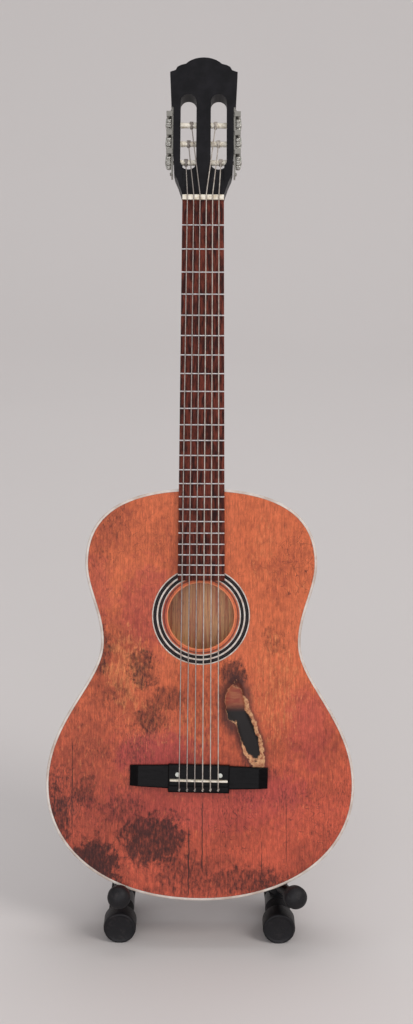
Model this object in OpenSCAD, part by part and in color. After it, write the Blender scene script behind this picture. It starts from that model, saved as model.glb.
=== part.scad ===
// Miniature classical guitar resting on a small folding stand.
// Millimetres, +Z up, the guitar faces -Y, origin at the centre of the
// footprint box on the surface that the stand's feet rest on.
// Guitar frame: X to the right, Y from the face to the back, Z along the strings,
// origin on the front face at the lowest point of the body.

/* [Body] */
// Half width of the lower bout
lower_bout = 43.5; // [41:0.1:46]
// Half width of the waist
waist = 28.1; // [26:0.1:30]
// Half width of the upper bout
upper_bout = 32.7; // [31:0.1:35]
// Height of the lower bout's widest point
lower_z = 32.6; // [30:0.1:35]
// Height of the waist
waist_z = 72.8; // [70:0.1:75]
// Height of the upper bout's widest point
upper_z = 95.1; // [93:0.1:97]
// Length of the body
body_len = 116.3; // [115:0.1:118]
// Depth of the body, plates included
body_depth = 18; // [17:0.1:18.4]
// Thickness of the soundboard and of the back plate
plate_t = 1.2; // [1:0.1:1.5]
// Thickness of the ribs
rib_t = 1.4; // [1:0.1:2]
// Width of the binding round the edge
binding_w = 0.75; // [0.5:0.05:1]
// Height of the soundhole's centre
hole_z = 80.3; // [79:0.1:82]
// Radius of the soundhole
hole_r = 9.35; // [8.5:0.05:10]

/* [Neck] */
// Height of the nut's front edge
nut_z = 197.3; // [195:0.1:199]
// Length of the nut along the neck
nut_len = 1.6; // [1.2:0.1:2]
// Width of the fingerboard at the nut
board_top_w = 11.7; // [11.4:0.1:12]
// Width of the fingerboard at the soundhole
board_end_w = 13.2; // [12.6:0.1:14]
// Thickness of the fingerboard
board_t = 1.6; // [1.4:0.1:1.8]
// Number of frets
fret_count = 23; // [12:1:23]
// Open string length that the frets are spaced for
scale_len = 168; // [164:0.5:170]
// Depth of the neck behind the fingerboard
neck_d = 4.6; // [4:0.1:5.5]

/* [Bridge and strings] */
// Width of the bridge
bridge_w = 38.8; // [36:0.1:42]
// Height of the saddle above the body's lowest point
saddle_z = 34.1; // [33:0.1:35]
// Skew of the bridge
bridge_skew = 1; // [0:0.1:1.5]
// Gap from string to string at the nut
nut_gap = 1.77; // [1.7:0.01:1.85]
// Gap from string to string at the saddle
saddle_gap = 2.19; // [2:0.01:2.3]
// Radius of a string
string_r = 0.15; // [0.1:0.01:0.18]

/* [Headstock] */
// Tilt of the headstock behind the neck
head_tilt = 15; // [12:1:16]
// Thickness of the headstock
head_t = 5; // [4.8:0.1:5.4]
// Distance from one string roller to the next
roller_gap = 5.8; // [5.7:0.05:6]
// Distance from the nut to the nearest roller
first_roller = 10.9; // [10.7:0.1:11.2]
// Teeth of each tuner gear
gear_teeth = 14; // [12:1:16]

/* [Stand] */
// Lean of the guitar on the stand
lean = 15; // [14:0.5:16]
// Height of the body's lowest front point above the floor
rest_h = 13.6; // [13.5:0.1:14.4]
// Distance of each foot tube from the middle
foot_x = 22.6; // [22:0.1:23]
// Height of the foot tubes' axis
foot_h = 4.45; // [4.4:0.05:4.5]
// Radius of the leg tubes
tube_r = 2.3; // [2:0.1:2.5]
// Radius of the grip sleeves on the legs
sleeve_r = 3.6; // [3.4:0.1:3.6]
// Inward lean of the two legs towards the top block
splay = 10.6; // [10:0.1:11]
// Outward turn of the right cradle arm at rest
right_turn = 13; // [8:0.5:16]
// Backward lean of the rear leg
rear_lean = 17; // [16:0.5:18]

/* [Hidden] */
$fn = 48;
fit = 0.05;             // running fit of a pin in its bore, radial
glue = 0.02;            // gap of a glued or pressed joint
gap = 0.12;             // gap of the guitar from the stand that carries it
steps = 16;             // points on each curve of the body outline

// ---------- body outline: four curves from the tail to the neck ----------
CURVES = [
    [[0, 0], [26.2, 0], [lower_bout, lower_z - 19], [lower_bout, lower_z]],
    [[lower_bout, lower_z], [lower_bout, lower_z + 18.6], [waist, waist_z - 11.2],
        [waist, waist_z]],
    [[waist, waist_z], [waist, waist_z + 8.6], [upper_bout, upper_z - 7.4],
        [upper_bout, upper_z]],
    [[upper_bout, upper_z], [upper_bout, upper_z + 12.2], [24.7, body_len],
        [0, body_len]]];
function bezier(c, t) = pow(1 - t, 3) * c[0] + 3 * pow(1 - t, 2) * t * c[1]
    + 3 * (1 - t) * t * t * c[2] + t * t * t * c[3];
function slope(c, t) = pow(1 - t, 2) * (c[1] - c[0]) + 2 * (1 - t) * t * (c[2] - c[1])
    + t * t * (c[3] - c[2]);
// a point of the outline moved inward by d, square to the curve
function inset_point(c, t, d) =
    let (s = slope(c, t), n = [-s[1], s[0]] / norm(s)) bezier(c, t) + d * n;
function half_outline(d) = [for (c = CURVES) for (i = [0:steps - 1])
    inset_point(c, i / steps, d)];
function outline(d) = let (h = half_outline(d), n = len(h)) concat(h,
    [[0, body_len - d]], [for (i = [n - 1:-1:1]) [-h[i][0], h[i][1]]]);

// ---------- derived places ----------
function about(middle, half) = [middle - half, middle + half];
foot_front_y = 0.7;
foot_cap_len = 6.6;
foot_cap_r = 4.6;
pivot_y = 17;
collar_y = about(pivot_y, 3.2);
boss_top = 8.2;
pin_r = 0.8;
bend_y = collar_y[1] + 0.3;
bend_r = 7;
leg_lean = atan(tan(lean) * cos(splay));
leg_up = 70;
sleeve_up = 46;
arm_rod_r = 1;
arm_sleeve_r = 1.6;
arm_cap_r = 3.25;
// height of the arm's axis over its pivot, so that the sleeve lies under the body's bottom
arm_h = rest_h + 1.4 / cos(lean) - pivot_y * tan(lean);
arm_reach = 17.2;       // from the pivot to the plane of the guitar's face
eye_r = 2.2;
eye_z = [8.3, 11.1];
hinge_y = 35;           // hinge pin, in the guitar's frame
hinge_z = 74;
hinge_pin_r = 1.2;
block_y = [23.3, 31.5];   // front and back of the top block, in the guitar's frame
ear_x = [4.3, 7];
rear_r = 2;
rear_foot_r = 2.6;
hinge_world = [0, hinge_y * cos(lean) + hinge_z * sin(lean),
    rest_h - hinge_y * sin(lean) + hinge_z * cos(lean)];
rear_len = (hinge_world[2] - rear_foot_r) / cos(rear_lean);
// middle of the whole model's depth, so that the origin is under its centre
front_most = pivot_y - (arm_reach + 5.6) * cos(lean);
back_most = hinge_world[1] + rear_len * sin(rear_lean) + rear_foot_r + 0.1;
centre_y = (front_most + back_most) / 2;
string_nut_y = -2.25;
string_saddle_y = -3.4;
bridge_t = 2.2;
rosette_r = [10.92, 13.8];   // inner and outer radius of the rosette
groove_depth = 0.4;
neck_top_z = nut_z + nut_len;
head_y = -0.4;          // the headstock's face stands this far before the neck's
slot_x = [2.05, 6.6];
slot_h = [8.4, 31.2];
plate_x = [8.6, 9.1];
plate_h = [6.6, 27.6];
gear_x = [9.3, 10.4];
gear_r = 1.95;
worm_x = (gear_x[0] + gear_x[1]) / 2;
worm_r = 0.7;
worm_up = gear_r + worm_r + fit;
roller_depth = 2.4;     // behind the headstock's face
drum_r = 0.85;
axle_r = 0.5;
target_x = [3.5, 4.3, 5.0];   // where the inner, middle and outer string meet their drum

wood_top = [0.80, 0.40, 0.16];
wood_side = [0.45, 0.22, 0.10];
rosewood = [0.36, 0.16, 0.10];
cream = [0.90, 0.87, 0.80];
black = [0.06, 0.06, 0.07];
rubber = [0.12, 0.12, 0.13];
steel = [0.70, 0.70, 0.72];
pearl = [0.62, 0.64, 0.58];

// ---------- placing and small tools ----------
module in_world() {
    translate([0, -centre_y, 0]) children();
}
module in_guitar() {
    in_world() translate([0, 0, rest_h]) rotate([-lean, 0, 0]) children();
}
module in_head() {
    in_guitar() translate([0, head_y, neck_top_z]) rotate([-head_tilt, 0, 0]) children();
}
// outline in X and Z, solid from y0 to y1
module slab(y0, y1) {
    translate([0, y1, 0]) rotate([90, 0, 0]) linear_extrude(y1 - y0) children();
}
module cyl_x(x0, x1, r) {
    translate([x0, 0, 0]) rotate([0, 90, 0]) cylinder(h = x1 - x0, r = r);
}
module cyl_y(y0, y1, r) {
    translate([0, y1, 0]) rotate([90, 0, 0]) cylinder(h = y1 - y0, r = r);
}
module block(x, y, z) {
    translate([x[0], y[0], z[0]]) cube([x[1] - x[0], y[1] - y[0], z[1] - z[0]]);
}
// round rod from p to q
module rod(p, q, r) {
    d = q - p;
    translate(p) rotate([0, acos(d[2] / norm(d)), atan2(d[1], d[0])])
        cylinder(h = norm(d), r = r, $fn = 16);
}

// ---------- body of the guitar ----------
module ring_slab(y0, y1, d0, d1) {
    slab(y0, y1) difference() {
        polygon(outline(d0));
        polygon(outline(d1));
    }
}
module soundboard() color(wood_top) in_guitar() difference() {
    slab(0, plate_t) polygon(outline(binding_w + glue));
    translate([0, 0, hole_z]) cyl_y(-1, plate_t + 1, hole_r);
    // groove that the rosette is laid in
    translate([0, 0, hole_z]) difference() {
        cyl_y(-1, groove_depth, rosette_r[1] + glue);
        cyl_y(-2, 1, rosette_r[0] - glue);
    }
}
// flat rings of the rosette, [inner radius, outer radius]
module rosette_rings(rings) {
    in_guitar() translate([0, 0, hole_z]) for (r = rings) difference() {
        cyl_y(0, groove_depth - glue, r[1]);
        cyl_y(-1, groove_depth + 1, r[0]);
    }
}
module rosette_white_rings() color(cream) rosette_rings(
    [[rosette_r[0], 11.24], [12.08, 12.54], [13.48, rosette_r[1]]]);
module rosette_black_rings() color(black) rosette_rings([[11.26, 12.06], [12.56, 13.46]]);
module binding_front() color(cream) in_guitar() ring_slab(0, plate_t, 0, binding_w);
module binding_back() color(cream) in_guitar()
    ring_slab(body_depth - plate_t, body_depth, 0, binding_w);
module back_plate() color(wood_side) in_guitar()
    slab(body_depth - plate_t, body_depth) polygon(outline(binding_w + glue));
module body_sides() color(wood_side) in_guitar()
    ring_slab(plate_t, body_depth - plate_t, 0, rib_t);
module linings() color(wood_side) in_guitar() {
    ring_slab(plate_t, plate_t + 2, rib_t + glue, rib_t + 1.6);
    ring_slab(body_depth - plate_t - 2, body_depth - plate_t, rib_t + glue, rib_t + 1.6);
}
// blocks glued between the ribs' ends, between the upper and lower linings
module end_block(z0, z1) {
    in_guitar() block([-8, 8], [plate_t + 2.05, body_depth - plate_t - 2.05], [z0, z1]);
}
module neck_block() color(wood_side) end_block(body_len - rib_t - 7, body_len - rib_t - 1);
module tail_block() color(wood_side) end_block(rib_t + 1.5, rib_t + 5);

// ---------- neck ----------
board_end_z = hole_z + hole_r + 0.65;
function board_half(z) = (board_end_w + (board_top_w - board_end_w)
    * (z - board_end_z) / (nut_z - board_end_z)) / 2;
// section of the neck: flat in front, half an oval behind
module neck_prism(half, depth, z0, z1) {
    translate([0, 0, z0]) linear_extrude(z1 - z0)
        polygon([for (a = [0:9:180]) [half * cos(a), depth * sin(a)]]);
}
// outline in Y and Z, solid across the neck
module side_slab(points) {
    translate([-10, 0, 0]) rotate([90, 0, 90]) linear_extrude(20) polygon(points);
}
heel_foot = body_len + glue;
heel_up = 13;           // height of the heel's curve above the body
// top end of the neck's side outline, cut to the headstock's plane
neck_end = [for (y = [12, 0]) [y, neck_top_z - glue - (y - head_y) * tan(head_tilt)]];
module neck() color(wood_side) in_guitar() intersection() {
    union() {
        neck_prism(board_half(body_len), neck_d, heel_foot, neck_top_z + 2);
        neck_prism(board_half(body_len), body_depth - 1, heel_foot, heel_foot + heel_up);
    }
    slab(-1, body_depth) polygon([[-board_half(heel_foot), heel_foot],
        [board_half(heel_foot), heel_foot], [board_half(nut_z + 5), nut_z + 5],
        [-board_half(nut_z + 5), nut_z + 5]]);
    side_slab(concat([[0, heel_foot], [body_depth - 1, heel_foot]],
        [for (t = [1:5]) let (u = t / 5) [neck_d + 0.01 + (body_depth - 1 - neck_d) * pow(1 - u, 2),
            heel_foot + heel_up * u]],
        [[neck_d + 1, heel_foot + heel_up + 2]], neck_end));
}
module fingerboard() color(rosewood) in_guitar() slab(-board_t, -glue) polygon([
    [-board_half(board_end_z), board_end_z], [board_half(board_end_z), board_end_z],
    [board_half(nut_z), nut_z], [-board_half(nut_z), nut_z]]);
function fret_z(n) = nut_z - scale_len * (1 - pow(0.958, n));
// low round wires sunk in the fingerboard: only the crown shows
module frets() color(steel) in_guitar() for (n = [1:fret_count])
    if (fret_z(n) > board_end_z + 0.4)
        block([-board_half(fret_z(n)), board_half(fret_z(n))],
            [-board_t - 0.25, -board_t], [fret_z(n) - 0.17, fret_z(n) + 0.17]);
module nut() color(cream) in_guitar()
    block([-board_top_w / 2, board_top_w / 2], [-2.08, -glue], [nut_z + glue, neck_top_z - 0.12]);

// ---------- headstock ----------
// right half of the outline: throat, side, shoulder step, centre arch
HEAD_HALF = [[0, 0], [5.85, 0], [6.2, 1.2], [7.1, 4], [8, 6.2], [8.3, 7.6], [9.7, 38.2],
    [8.1, 38.8], [7.6, 39.8], [6.6, 40.4]];
function head_arch() = [for (a = [35:11:90]) [6.3 * cos(a), 38.1 + 4.7 * sin(a)]];
function head_outline() = let (h = concat(HEAD_HALF, head_arch()), n = len(h))
    concat(h, [for (i = [n - 1:-1:1]) [-h[i][0], h[i][1]]]);
module slot(side) {
    w = slot_x[1] - slot_x[0];
    x = side * (slot_x[0] + slot_x[1]) / 2;
    for (h = [slot_h[0] + w / 2, slot_h[1] - w / 2])
        translate([x, 0, h]) cyl_y(-1, head_t + 1, w / 2);
    block([x - w / 2, x + w / 2], [-1, head_t + 1],
        [slot_h[0] + w / 2, slot_h[1] - w / 2]);
}
// sloping groove that leads the strings from the nut down into a slot
module string_ramp(side) {
    x0 = side > 0 ? 1.9 : -5.9;
    translate([x0, 0, 0]) rotate([90, 0, 90]) linear_extrude(4)
        polygon([[-0.5, 2.6], [0, 2.6], [1.5, 9.4], [1.5, 12], [-0.5, 12]]);
}
module headstock() color(black) in_head() difference() {
    slab(0, head_t) polygon(head_outline());
    for (side = [-1, 1]) {
        slot(side);
        string_ramp(side);
        // flat seat for the tuner plate
        block(side > 0 ? [plate_x[0] - glue, 12] : [-12, -plate_x[0] + glue],
            [-1, head_t + 1], plate_h + [-glue, glue]);
        for (n = [0:2]) translate([0, roller_depth, roller_h(n)])
            cyl_x(side > 0 ? 1 : -9, side > 0 ? 9 : -1, drum_r + fit);
    }
}

// ---------- tuners ----------
function roller_h(n) = first_roller + n * roller_gap;
function mirror_x(side, x) = side > 0 ? x : [-x[1], -x[0]];
// plate with a bore for each axle and two lugs that carry each worm shaft
module tuner_plate(side) {
    in_head() difference() {
        union() {
            block(mirror_x(side, plate_x), [0.7, 4.5], plate_h);
            for (n = [0:2]) for (y = [[0.15, 0.7], [4.1, 4.6]])
                block(mirror_x(side, [plate_x[0] + 0.3, worm_x + 0.75]), y,
                    about(roller_h(n) + worm_up, 0.8));
        }
        for (n = [0:2]) {
            translate([0, roller_depth, roller_h(n)])
                cyl_x(side > 0 ? 8 : -10, side > 0 ? 10 : -8, axle_r + fit);
            translate([side * worm_x, 0, roller_h(n) + worm_up]) cyl_y(0.4, 5, 0.4 + fit);
        }
    }
}
module tuner_plate_left() color(steel) tuner_plate(-1);
module tuner_plate_right() color(steel) tuner_plate(1);
// two screws through the ends of each plate
module plate_screws() color(steel) in_head() for (side = [-1, 1])
    for (h = [plate_h[0] + 0.75, plate_h[1] - 0.7]) translate([0, roller_depth, h])
        cyl_x(side > 0 ? plate_x[1] + glue : -plate_x[1] - 0.4,
            side > 0 ? plate_x[1] + 0.4 : -plate_x[1] - glue, 0.55);
function tooth_ring(teeth, r0, r1) = [for (i = [0:4 * teeth - 1])
    (i % 4 < 2 ? r1 : r0) * [cos(90 * i / teeth), sin(90 * i / teeth)]];
// tuner 1, 2, 3 on the left from the nut up, then 4, 5, 6 on the right from the top down
function tuner_side(k) = k <= 3 ? -1 : 1;
function tuner_row(k) = k <= 3 ? k - 1 : 6 - k;
module roller(k) {
    side = tuner_side(k);
    x = target_x[2 - tuner_row(k)];
    color(cream) in_head() translate([0, roller_depth, roller_h(tuner_row(k))])
        mirror([side > 0 ? 0 : 1, 0, 0]) {
        cyl_x(1.1, 8.5, drum_r);
        cyl_x(8.4, gear_x[1], axle_r);
        translate([gear_x[0], 0, 0]) rotate([0, 90, 0])
            linear_extrude(gear_x[1] - gear_x[0]) polygon(tooth_ring(gear_teeth, 1.65, gear_r));
        cyl_x(gear_x[1], gear_x[1] + 0.5, 0.7);
        cyl_x(x - 0.35, x + 0.35, drum_r + 2 * string_r);
    }
}
// worm shaft with its flat oval button behind the headstock
module button(k) {
    side = tuner_side(k);
    color(pearl) in_head()
        translate([side * worm_x, 0, roller_h(tuner_row(k)) + worm_up]) {
        cyl_y(0.5, 6.2, 0.4);
        cyl_y(0.9, 3.9, worm_r);
        intersection() {
            translate([-1.2, 5.4, -2.5]) cube([2.4, 4, 5]);
            translate([0, 7.4, 0]) rotate([0, 90, 0]) cylinder(h = 3, r = 2.55, center = true);
        }
    }
}
module roller_1() roller(1);
module roller_2() roller(2);
module roller_3() roller(3);
module roller_4() roller(4);
module roller_5() roller(5);
module roller_6() roller(6);
module button_1() button(1);
module button_2() button(2);
module button_3() button(3);
module button_4() button(4);
module button_5() button(5);
module button_6() button(6);

// ---------- bridge and strings ----------
module at_bridge() {
    in_guitar() translate([-0.4, 0, saddle_z]) rotate([0, bridge_skew, 0]) children();
}
module bridge() color(black) at_bridge() difference() {
    union() {
        block([-8.6, 8.6], [-bridge_t, -glue], [-3.4, 4.5]);
        for (s = [-1, 1]) mirror([s > 0 ? 0 : 1, 0, 0]) slab(-1.5, -glue)
            polygon([[8.6, -2.4], [bridge_w / 2, -2], [bridge_w / 2, 3.9], [8.6, 4.2]]);
    }
    block([-8.15, 8.15], [-3, -1.2], [-0.45, 0.45]);
    for (x = [-6, 6]) translate([x, 0, 1.6]) cyl_y(-3, -1.7, 0.72);
    // step behind the saddle, and the cut where the strings are tied
    block([-9, 9], [-3, -1.3], [-1.7, -0.45]);
}
module saddle() color(cream) at_bridge()
    block([-8.1, 8.1], [string_saddle_y + string_r + glue, -1.22], [-0.42, 0.42]);
module bridge_dots() color(pearl) at_bridge() for (x = [-6, 6])
    translate([x, 0, 1.6]) cyl_y(-bridge_t, -1.72, 0.7);
function string_x(k, pitch) = (k - 3.5) * pitch;
function to_guitar(p) = [p[0], head_y + p[1] * cos(head_tilt) + p[2] * sin(head_tilt),
    neck_top_z - p[1] * sin(head_tilt) + p[2] * cos(head_tilt)];
// from the tie block over the saddle and the nut down to its drum
module string(k) {
    nut_point = [string_x(k, nut_gap), string_nut_y, neck_top_z - 0.1];
    bridge_x = string_x(k, saddle_gap) - 0.4;
    saddle_point = [bridge_x, string_saddle_y, saddle_z - 0.6];
    tie_point = [bridge_x, -bridge_t - string_r - 0.02, saddle_z - 2];
    end_point = [bridge_x, -bridge_t - string_r - 0.02, saddle_z - 3.1];
    drum_point = to_guitar([tuner_side(k) * target_x[2 - tuner_row(k)],
        roller_depth - drum_r - 3 * string_r - 0.03, roller_h(tuner_row(k))]);
    color(cream) in_guitar() {
        rod(saddle_point, nut_point, string_r);
        rod(tie_point, saddle_point, string_r);
        rod(end_point, tie_point, string_r);
        rod(nut_point, drum_point, string_r);
        for (p = [tie_point, saddle_point, nut_point]) translate(p)
            sphere(r = 1.1 * string_r, $fn = 16);
    }
}
module string_1() string(1);
module string_2() string(2);
module string_3() string(3);
module string_4() string(4);
module string_5() string(5);
module string_6() string(6);

// ---------- stand: front legs ----------
// a tube that runs back along the floor, bends up and leans to the top block
module bent_tube(side, y0, up, r) {
    turn = 90 - leg_lean;
    in_leg(side) {
        cyl_y(y0, bend_y, r);
        translate([0, bend_y, bend_r]) rotate([0, 90, 0])
            rotate_extrude(angle = turn) translate([bend_r, 0]) circle(r);
        translate([0, bend_y + bend_r * sin(turn), bend_r * (1 - cos(turn))])
            rotate([-leg_lean, 0, 0]) {
            cylinder(h = up, r = r);
            // core that runs from the bend into the leg
            translate([0, 0, -0.5]) cylinder(h = 1, r = 0.8 * r);
        }
    }
}
module in_leg(side) {
    in_world() translate([side * foot_x, 0, foot_h]) rotate([0, -side * splay, 0]) children();
}
module leg(side) {
    bent_tube(side, foot_front_y + 1.6, leg_up, tube_r);
}
module leg_left() color(black) leg(-1);
module leg_right() color(black) leg(1);
// soft sleeves: a short one on the foot tube, a long one over the bend and up the leg
module leg_sleeve(side) {
    difference() {
        union() {
            in_leg(side) cyl_y(foot_front_y + foot_cap_len + 0.1, collar_y[0] - 0.1, sleeve_r);
            bent_tube(side, bend_y - 0.1, sleeve_up, sleeve_r);
        }
        bent_tube(side, 0, sleeve_up + 2, tube_r + glue);
    }
}
module leg_sleeve_left() color(rubber) leg_sleeve(-1);
module leg_sleeve_right() color(rubber) leg_sleeve(1);
// rubber cup over the tube's end, with a small flat where it stands on the floor
module foot_cap(side) {
    in_world() difference() {
        translate([side * foot_x, 0, foot_h])
            cyl_y(foot_front_y, foot_front_y + foot_cap_len, foot_cap_r);
        translate([side * foot_x, 0, foot_h])
            cyl_y(foot_front_y + 1.6 - glue, foot_front_y + foot_cap_len + 1, tube_r + glue);
        translate([side * foot_x - 10, foot_front_y - 1, -2]) cube([20, 20, 2]);
    }
}
module foot_cap_left() color(rubber) foot_cap(-1);
module foot_cap_right() color(rubber) foot_cap(1);

// ---------- stand: cradle arms ----------
// clamp ring on the foot tube with a flat boss for the pivot pin
module arm_collar(side) {
    in_world() translate([side * foot_x, 0, 0]) difference() {
        union() {
            translate([0, 0, foot_h]) cyl_y(collar_y[0], collar_y[1], sleeve_r);
            translate([0, pivot_y, foot_h]) cylinder(h = boss_top - foot_h, r = eye_r + 0.3);
        }
        translate([0, 0, foot_h]) cyl_y(collar_y[0] - 1, collar_y[1] + 1, tube_r + glue);
        translate([0, pivot_y, foot_h]) cylinder(h = 10, r = pin_r + glue);
    }
}
module arm_collar_left() color(black) arm_collar(-1);
module arm_collar_right() color(black) arm_collar(1);
module pivot_pin(side) {
    in_world() translate([side * foot_x, pivot_y, foot_h + tube_r + 0.05]) {
        cylinder(h = eye_z[1] + 0.06 - foot_h - tube_r - 0.05, r = pin_r);
        translate([0, 0, eye_z[1] + 0.05 - foot_h - tube_r - 0.05]) cylinder(h = 0.35, r = 1.15);
    }
}
module pivot_pin_left() color(steel) pivot_pin(-1);
module pivot_pin_right() color(steel) pivot_pin(1);
// frame of an arm: origin on its pivot at the arm's axis, turned outward by its angle
module in_arm(side) {
    in_world() translate([side * foot_x, pivot_y, arm_h])
        rotate([0, 0, side > 0 ? right_turn : 0]) children();
}
// piece of round bar along the arm's rising axis, from s0 to s1
module along_arm(s0, s1, r) {
    rotate([-lean, 0, 0]) cyl_y(-s1, -s0, r);
}
module arm(side) {
    in_arm(side) difference() {
        union() {
            translate([0, 0, eye_z[0] - arm_h]) cylinder(h = eye_z[1] - eye_z[0], r = eye_r);
            along_arm(0.9, arm_reach + 2.8, arm_rod_r);
        }
        translate([0, 0, eye_z[0] - arm_h - 1]) cylinder(h = 6, r = pin_r + fit);
        translate([0, 0, eye_z[1] - arm_h]) cylinder(h = 6, r = 1.15 + 4 * fit);
    }
}
module arm_left() color(black) arm(-1);
module arm_right() color(black) arm(1);
// rubber sleeve under the guitar that ends in a domed cap before its face: one turned
// shape, [radius, distance along the arm]
module arm_cap(side) {
    start = arm_reach + 1;
    rod_end = arm_reach + 2.8 + glue;
    in_arm(side) rotate([90 - lean, 0, 0]) rotate_extrude() polygon(concat(
        [[arm_rod_r + glue, 4.2], [arm_sleeve_r, 4.2], [arm_sleeve_r, start],
            [arm_cap_r - 0.3, start], [arm_cap_r, start + 0.3]],
        [for (a = [0:15:90]) [arm_cap_r * cos(a), start + 2.2 + 2.4 * sin(a)]],
        [[0, rod_end], [arm_rod_r + glue, rod_end]]));
}
module arm_cap_left() color(rubber) arm_cap(-1);
module arm_cap_right() color(rubber) arm_cap(1);

// ---------- stand: top block, pad and rear leg ----------
module top_block() color(black) difference() {
    in_guitar() {
        block([-13.6, 13.6], block_y, [66, 76.5]);
        for (side = [-1, 1]) {
            block(mirror_x(side, ear_x), [block_y[1] - 0.1, hinge_y], about(hinge_z, 2.5));
            translate([0, hinge_y, hinge_z])
                cyl_x(mirror_x(side, ear_x)[0], mirror_x(side, ear_x)[1], 2.5);
        }
    }
    for (side = [-1, 1]) bent_tube(side, 0, leg_up + glue, tube_r + glue);
    in_guitar() translate([0, hinge_y, hinge_z]) cyl_x(-20, 20, hinge_pin_r + glue);
}
module hinge_pin() color(steel) in_guitar() translate([0, hinge_y, hinge_z]) {
    cyl_x(-ear_x[1] - 0.2, ear_x[1] + 0.2, hinge_pin_r);
    cyl_x(ear_x[1] + 0.1, ear_x[1] + 0.8, 1.9);
    cyl_x(-ear_x[1] - 0.8, -ear_x[1] - 0.1, 1.9);
}
module rest_pad() color(rubber) in_guitar() {
    for (x = [-8.4, 8.4]) translate([x, 0, 71.2]) {
        cyl_y(body_depth + gap, body_depth + gap + 2.6, 4.4);
        cyl_y(body_depth + gap + 2.5, block_y[0] - glue, 2.6);
    }
}
module in_rear() {
    in_world() translate(hinge_world) rotate([rear_lean, 0, 0]) children();
}
module rear_leg() color(black) in_rear() difference() {
    union() {
        cyl_x(-ear_x[0] + 0.25, ear_x[0] - 0.25, 2.5);
        translate([0, 0, -rear_len]) cylinder(h = rear_len - 1, r = rear_r);
        translate([0, 0, -rear_len]) cyl_x(-16, 16, 1.7);
    }
    cyl_x(-20, 20, hinge_pin_r + fit);
}
module rear_foot_caps() color(rubber) for (side = [-1, 1]) difference() {
    in_rear() translate([0, 0, -rear_len]) difference() {
        cyl_x(mirror_x(side, [11.5, 17.5])[0], mirror_x(side, [11.5, 17.5])[1],
            rear_foot_r + 0.1);
        cyl_x(mirror_x(side, [10, 16 + glue])[0], mirror_x(side, [10, 16 + glue])[1],
            1.7 + glue);
    }
    in_world() translate([-50, 0, -5]) cube([100, 100, 5]);
}

soundboard();
rosette_white_rings();
rosette_black_rings();
body_sides();
back_plate();
binding_front();
binding_back();
neck_block();
tail_block();
linings();
neck();
headstock();
fingerboard();
frets();
nut();
bridge();
saddle();
bridge_dots();
string_1();
string_2();
string_3();
string_4();
string_5();
string_6();
tuner_plate_left();
tuner_plate_right();
plate_screws();
roller_1();
roller_2();
roller_3();
roller_4();
roller_5();
roller_6();
button_1();
button_2();
button_3();
button_4();
button_5();
button_6();
leg_left();
leg_right();
leg_sleeve_left();
leg_sleeve_right();
foot_cap_left();
foot_cap_right();
arm_collar_left();
arm_collar_right();
pivot_pin_left();
pivot_pin_right();
arm_left();
arm_right();
arm_cap_left();
arm_cap_right();
top_block();
hinge_pin();
rest_pad();
rear_leg();
rear_foot_caps();
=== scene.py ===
"""Looks of a miniature classical guitar that leans on a small folding stand.

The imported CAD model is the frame. Shapes are worked out in millimetres in the
frame of the sub-assembly they belong to, and placed in the row frame in metres.
Guitar frame: X right, Y from the face to the back, Z along the strings, with its
origin on the face at the lowest point of the body.
"""
import logging
import math
from dataclasses import dataclass
from enum import Enum
from typing import Callable, Sequence

import bmesh
import bpy
import numpy as np
from mathutils import Matrix, Vector


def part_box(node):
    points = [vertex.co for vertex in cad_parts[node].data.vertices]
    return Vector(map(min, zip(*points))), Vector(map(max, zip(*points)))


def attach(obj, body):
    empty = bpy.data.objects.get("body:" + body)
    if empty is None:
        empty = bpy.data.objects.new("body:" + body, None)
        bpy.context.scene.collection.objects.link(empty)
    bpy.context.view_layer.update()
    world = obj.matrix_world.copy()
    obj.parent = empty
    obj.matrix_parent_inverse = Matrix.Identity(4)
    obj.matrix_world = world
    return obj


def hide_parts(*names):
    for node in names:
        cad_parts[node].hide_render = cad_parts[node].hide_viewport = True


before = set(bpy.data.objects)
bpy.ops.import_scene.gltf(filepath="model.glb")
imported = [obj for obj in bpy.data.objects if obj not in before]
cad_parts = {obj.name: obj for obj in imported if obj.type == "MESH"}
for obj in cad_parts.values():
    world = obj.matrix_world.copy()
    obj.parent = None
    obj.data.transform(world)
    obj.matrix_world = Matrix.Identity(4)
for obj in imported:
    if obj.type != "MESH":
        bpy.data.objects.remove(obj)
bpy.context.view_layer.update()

MM = 0.001
# depth of the rollers' axis behind the headstock's face, in millimetres
ROLLER_Y = 2.4
LOG = logging.getLogger("guitar")
Array = np.ndarray
Color = tuple[int, int, int]


class Side(Enum):
    """Side of the object, as seen from the front."""

    LEFT = -1
    RIGHT = 1

    @property
    def word(self) -> str:
        """The side's name in lower case."""
        return self.name.lower()


# ---------------------------------------------------------------- places
@dataclass(frozen=True)
class Placing:
    """A tilted frame whose points are in millimetres.

    origin is in metres in the row frame, and the rows of axes are the frame's own
    X, Y and Z directions in the row frame.
    """

    origin: Array
    axes: Array

    def world(self, points: Array) -> Array:
        """Points in millimetres to metres in the row frame."""
        return self.origin + (np.asarray(points, float) * MM) @ self.axes

    def at(self, x: float, y: float, z: float) -> "Placing":
        """The same directions with the origin moved to x, y, z."""
        return Placing(self.world(np.array([x, y, z])), self.axes)

    def turned(self, rows: Sequence[Sequence[float]]) -> "Placing":
        """The frame whose axes are the given combinations of this one's."""
        return Placing(self.origin, np.array(rows, float) @ self.axes)


def tilt_rows(angle: float) -> Array:
    """Axes of a frame that leans back by angle, in radians, about X."""
    c, s = math.cos(angle), math.sin(angle)
    return np.array([[1, 0, 0], [0, c, -s], [0, s, c]])


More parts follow.
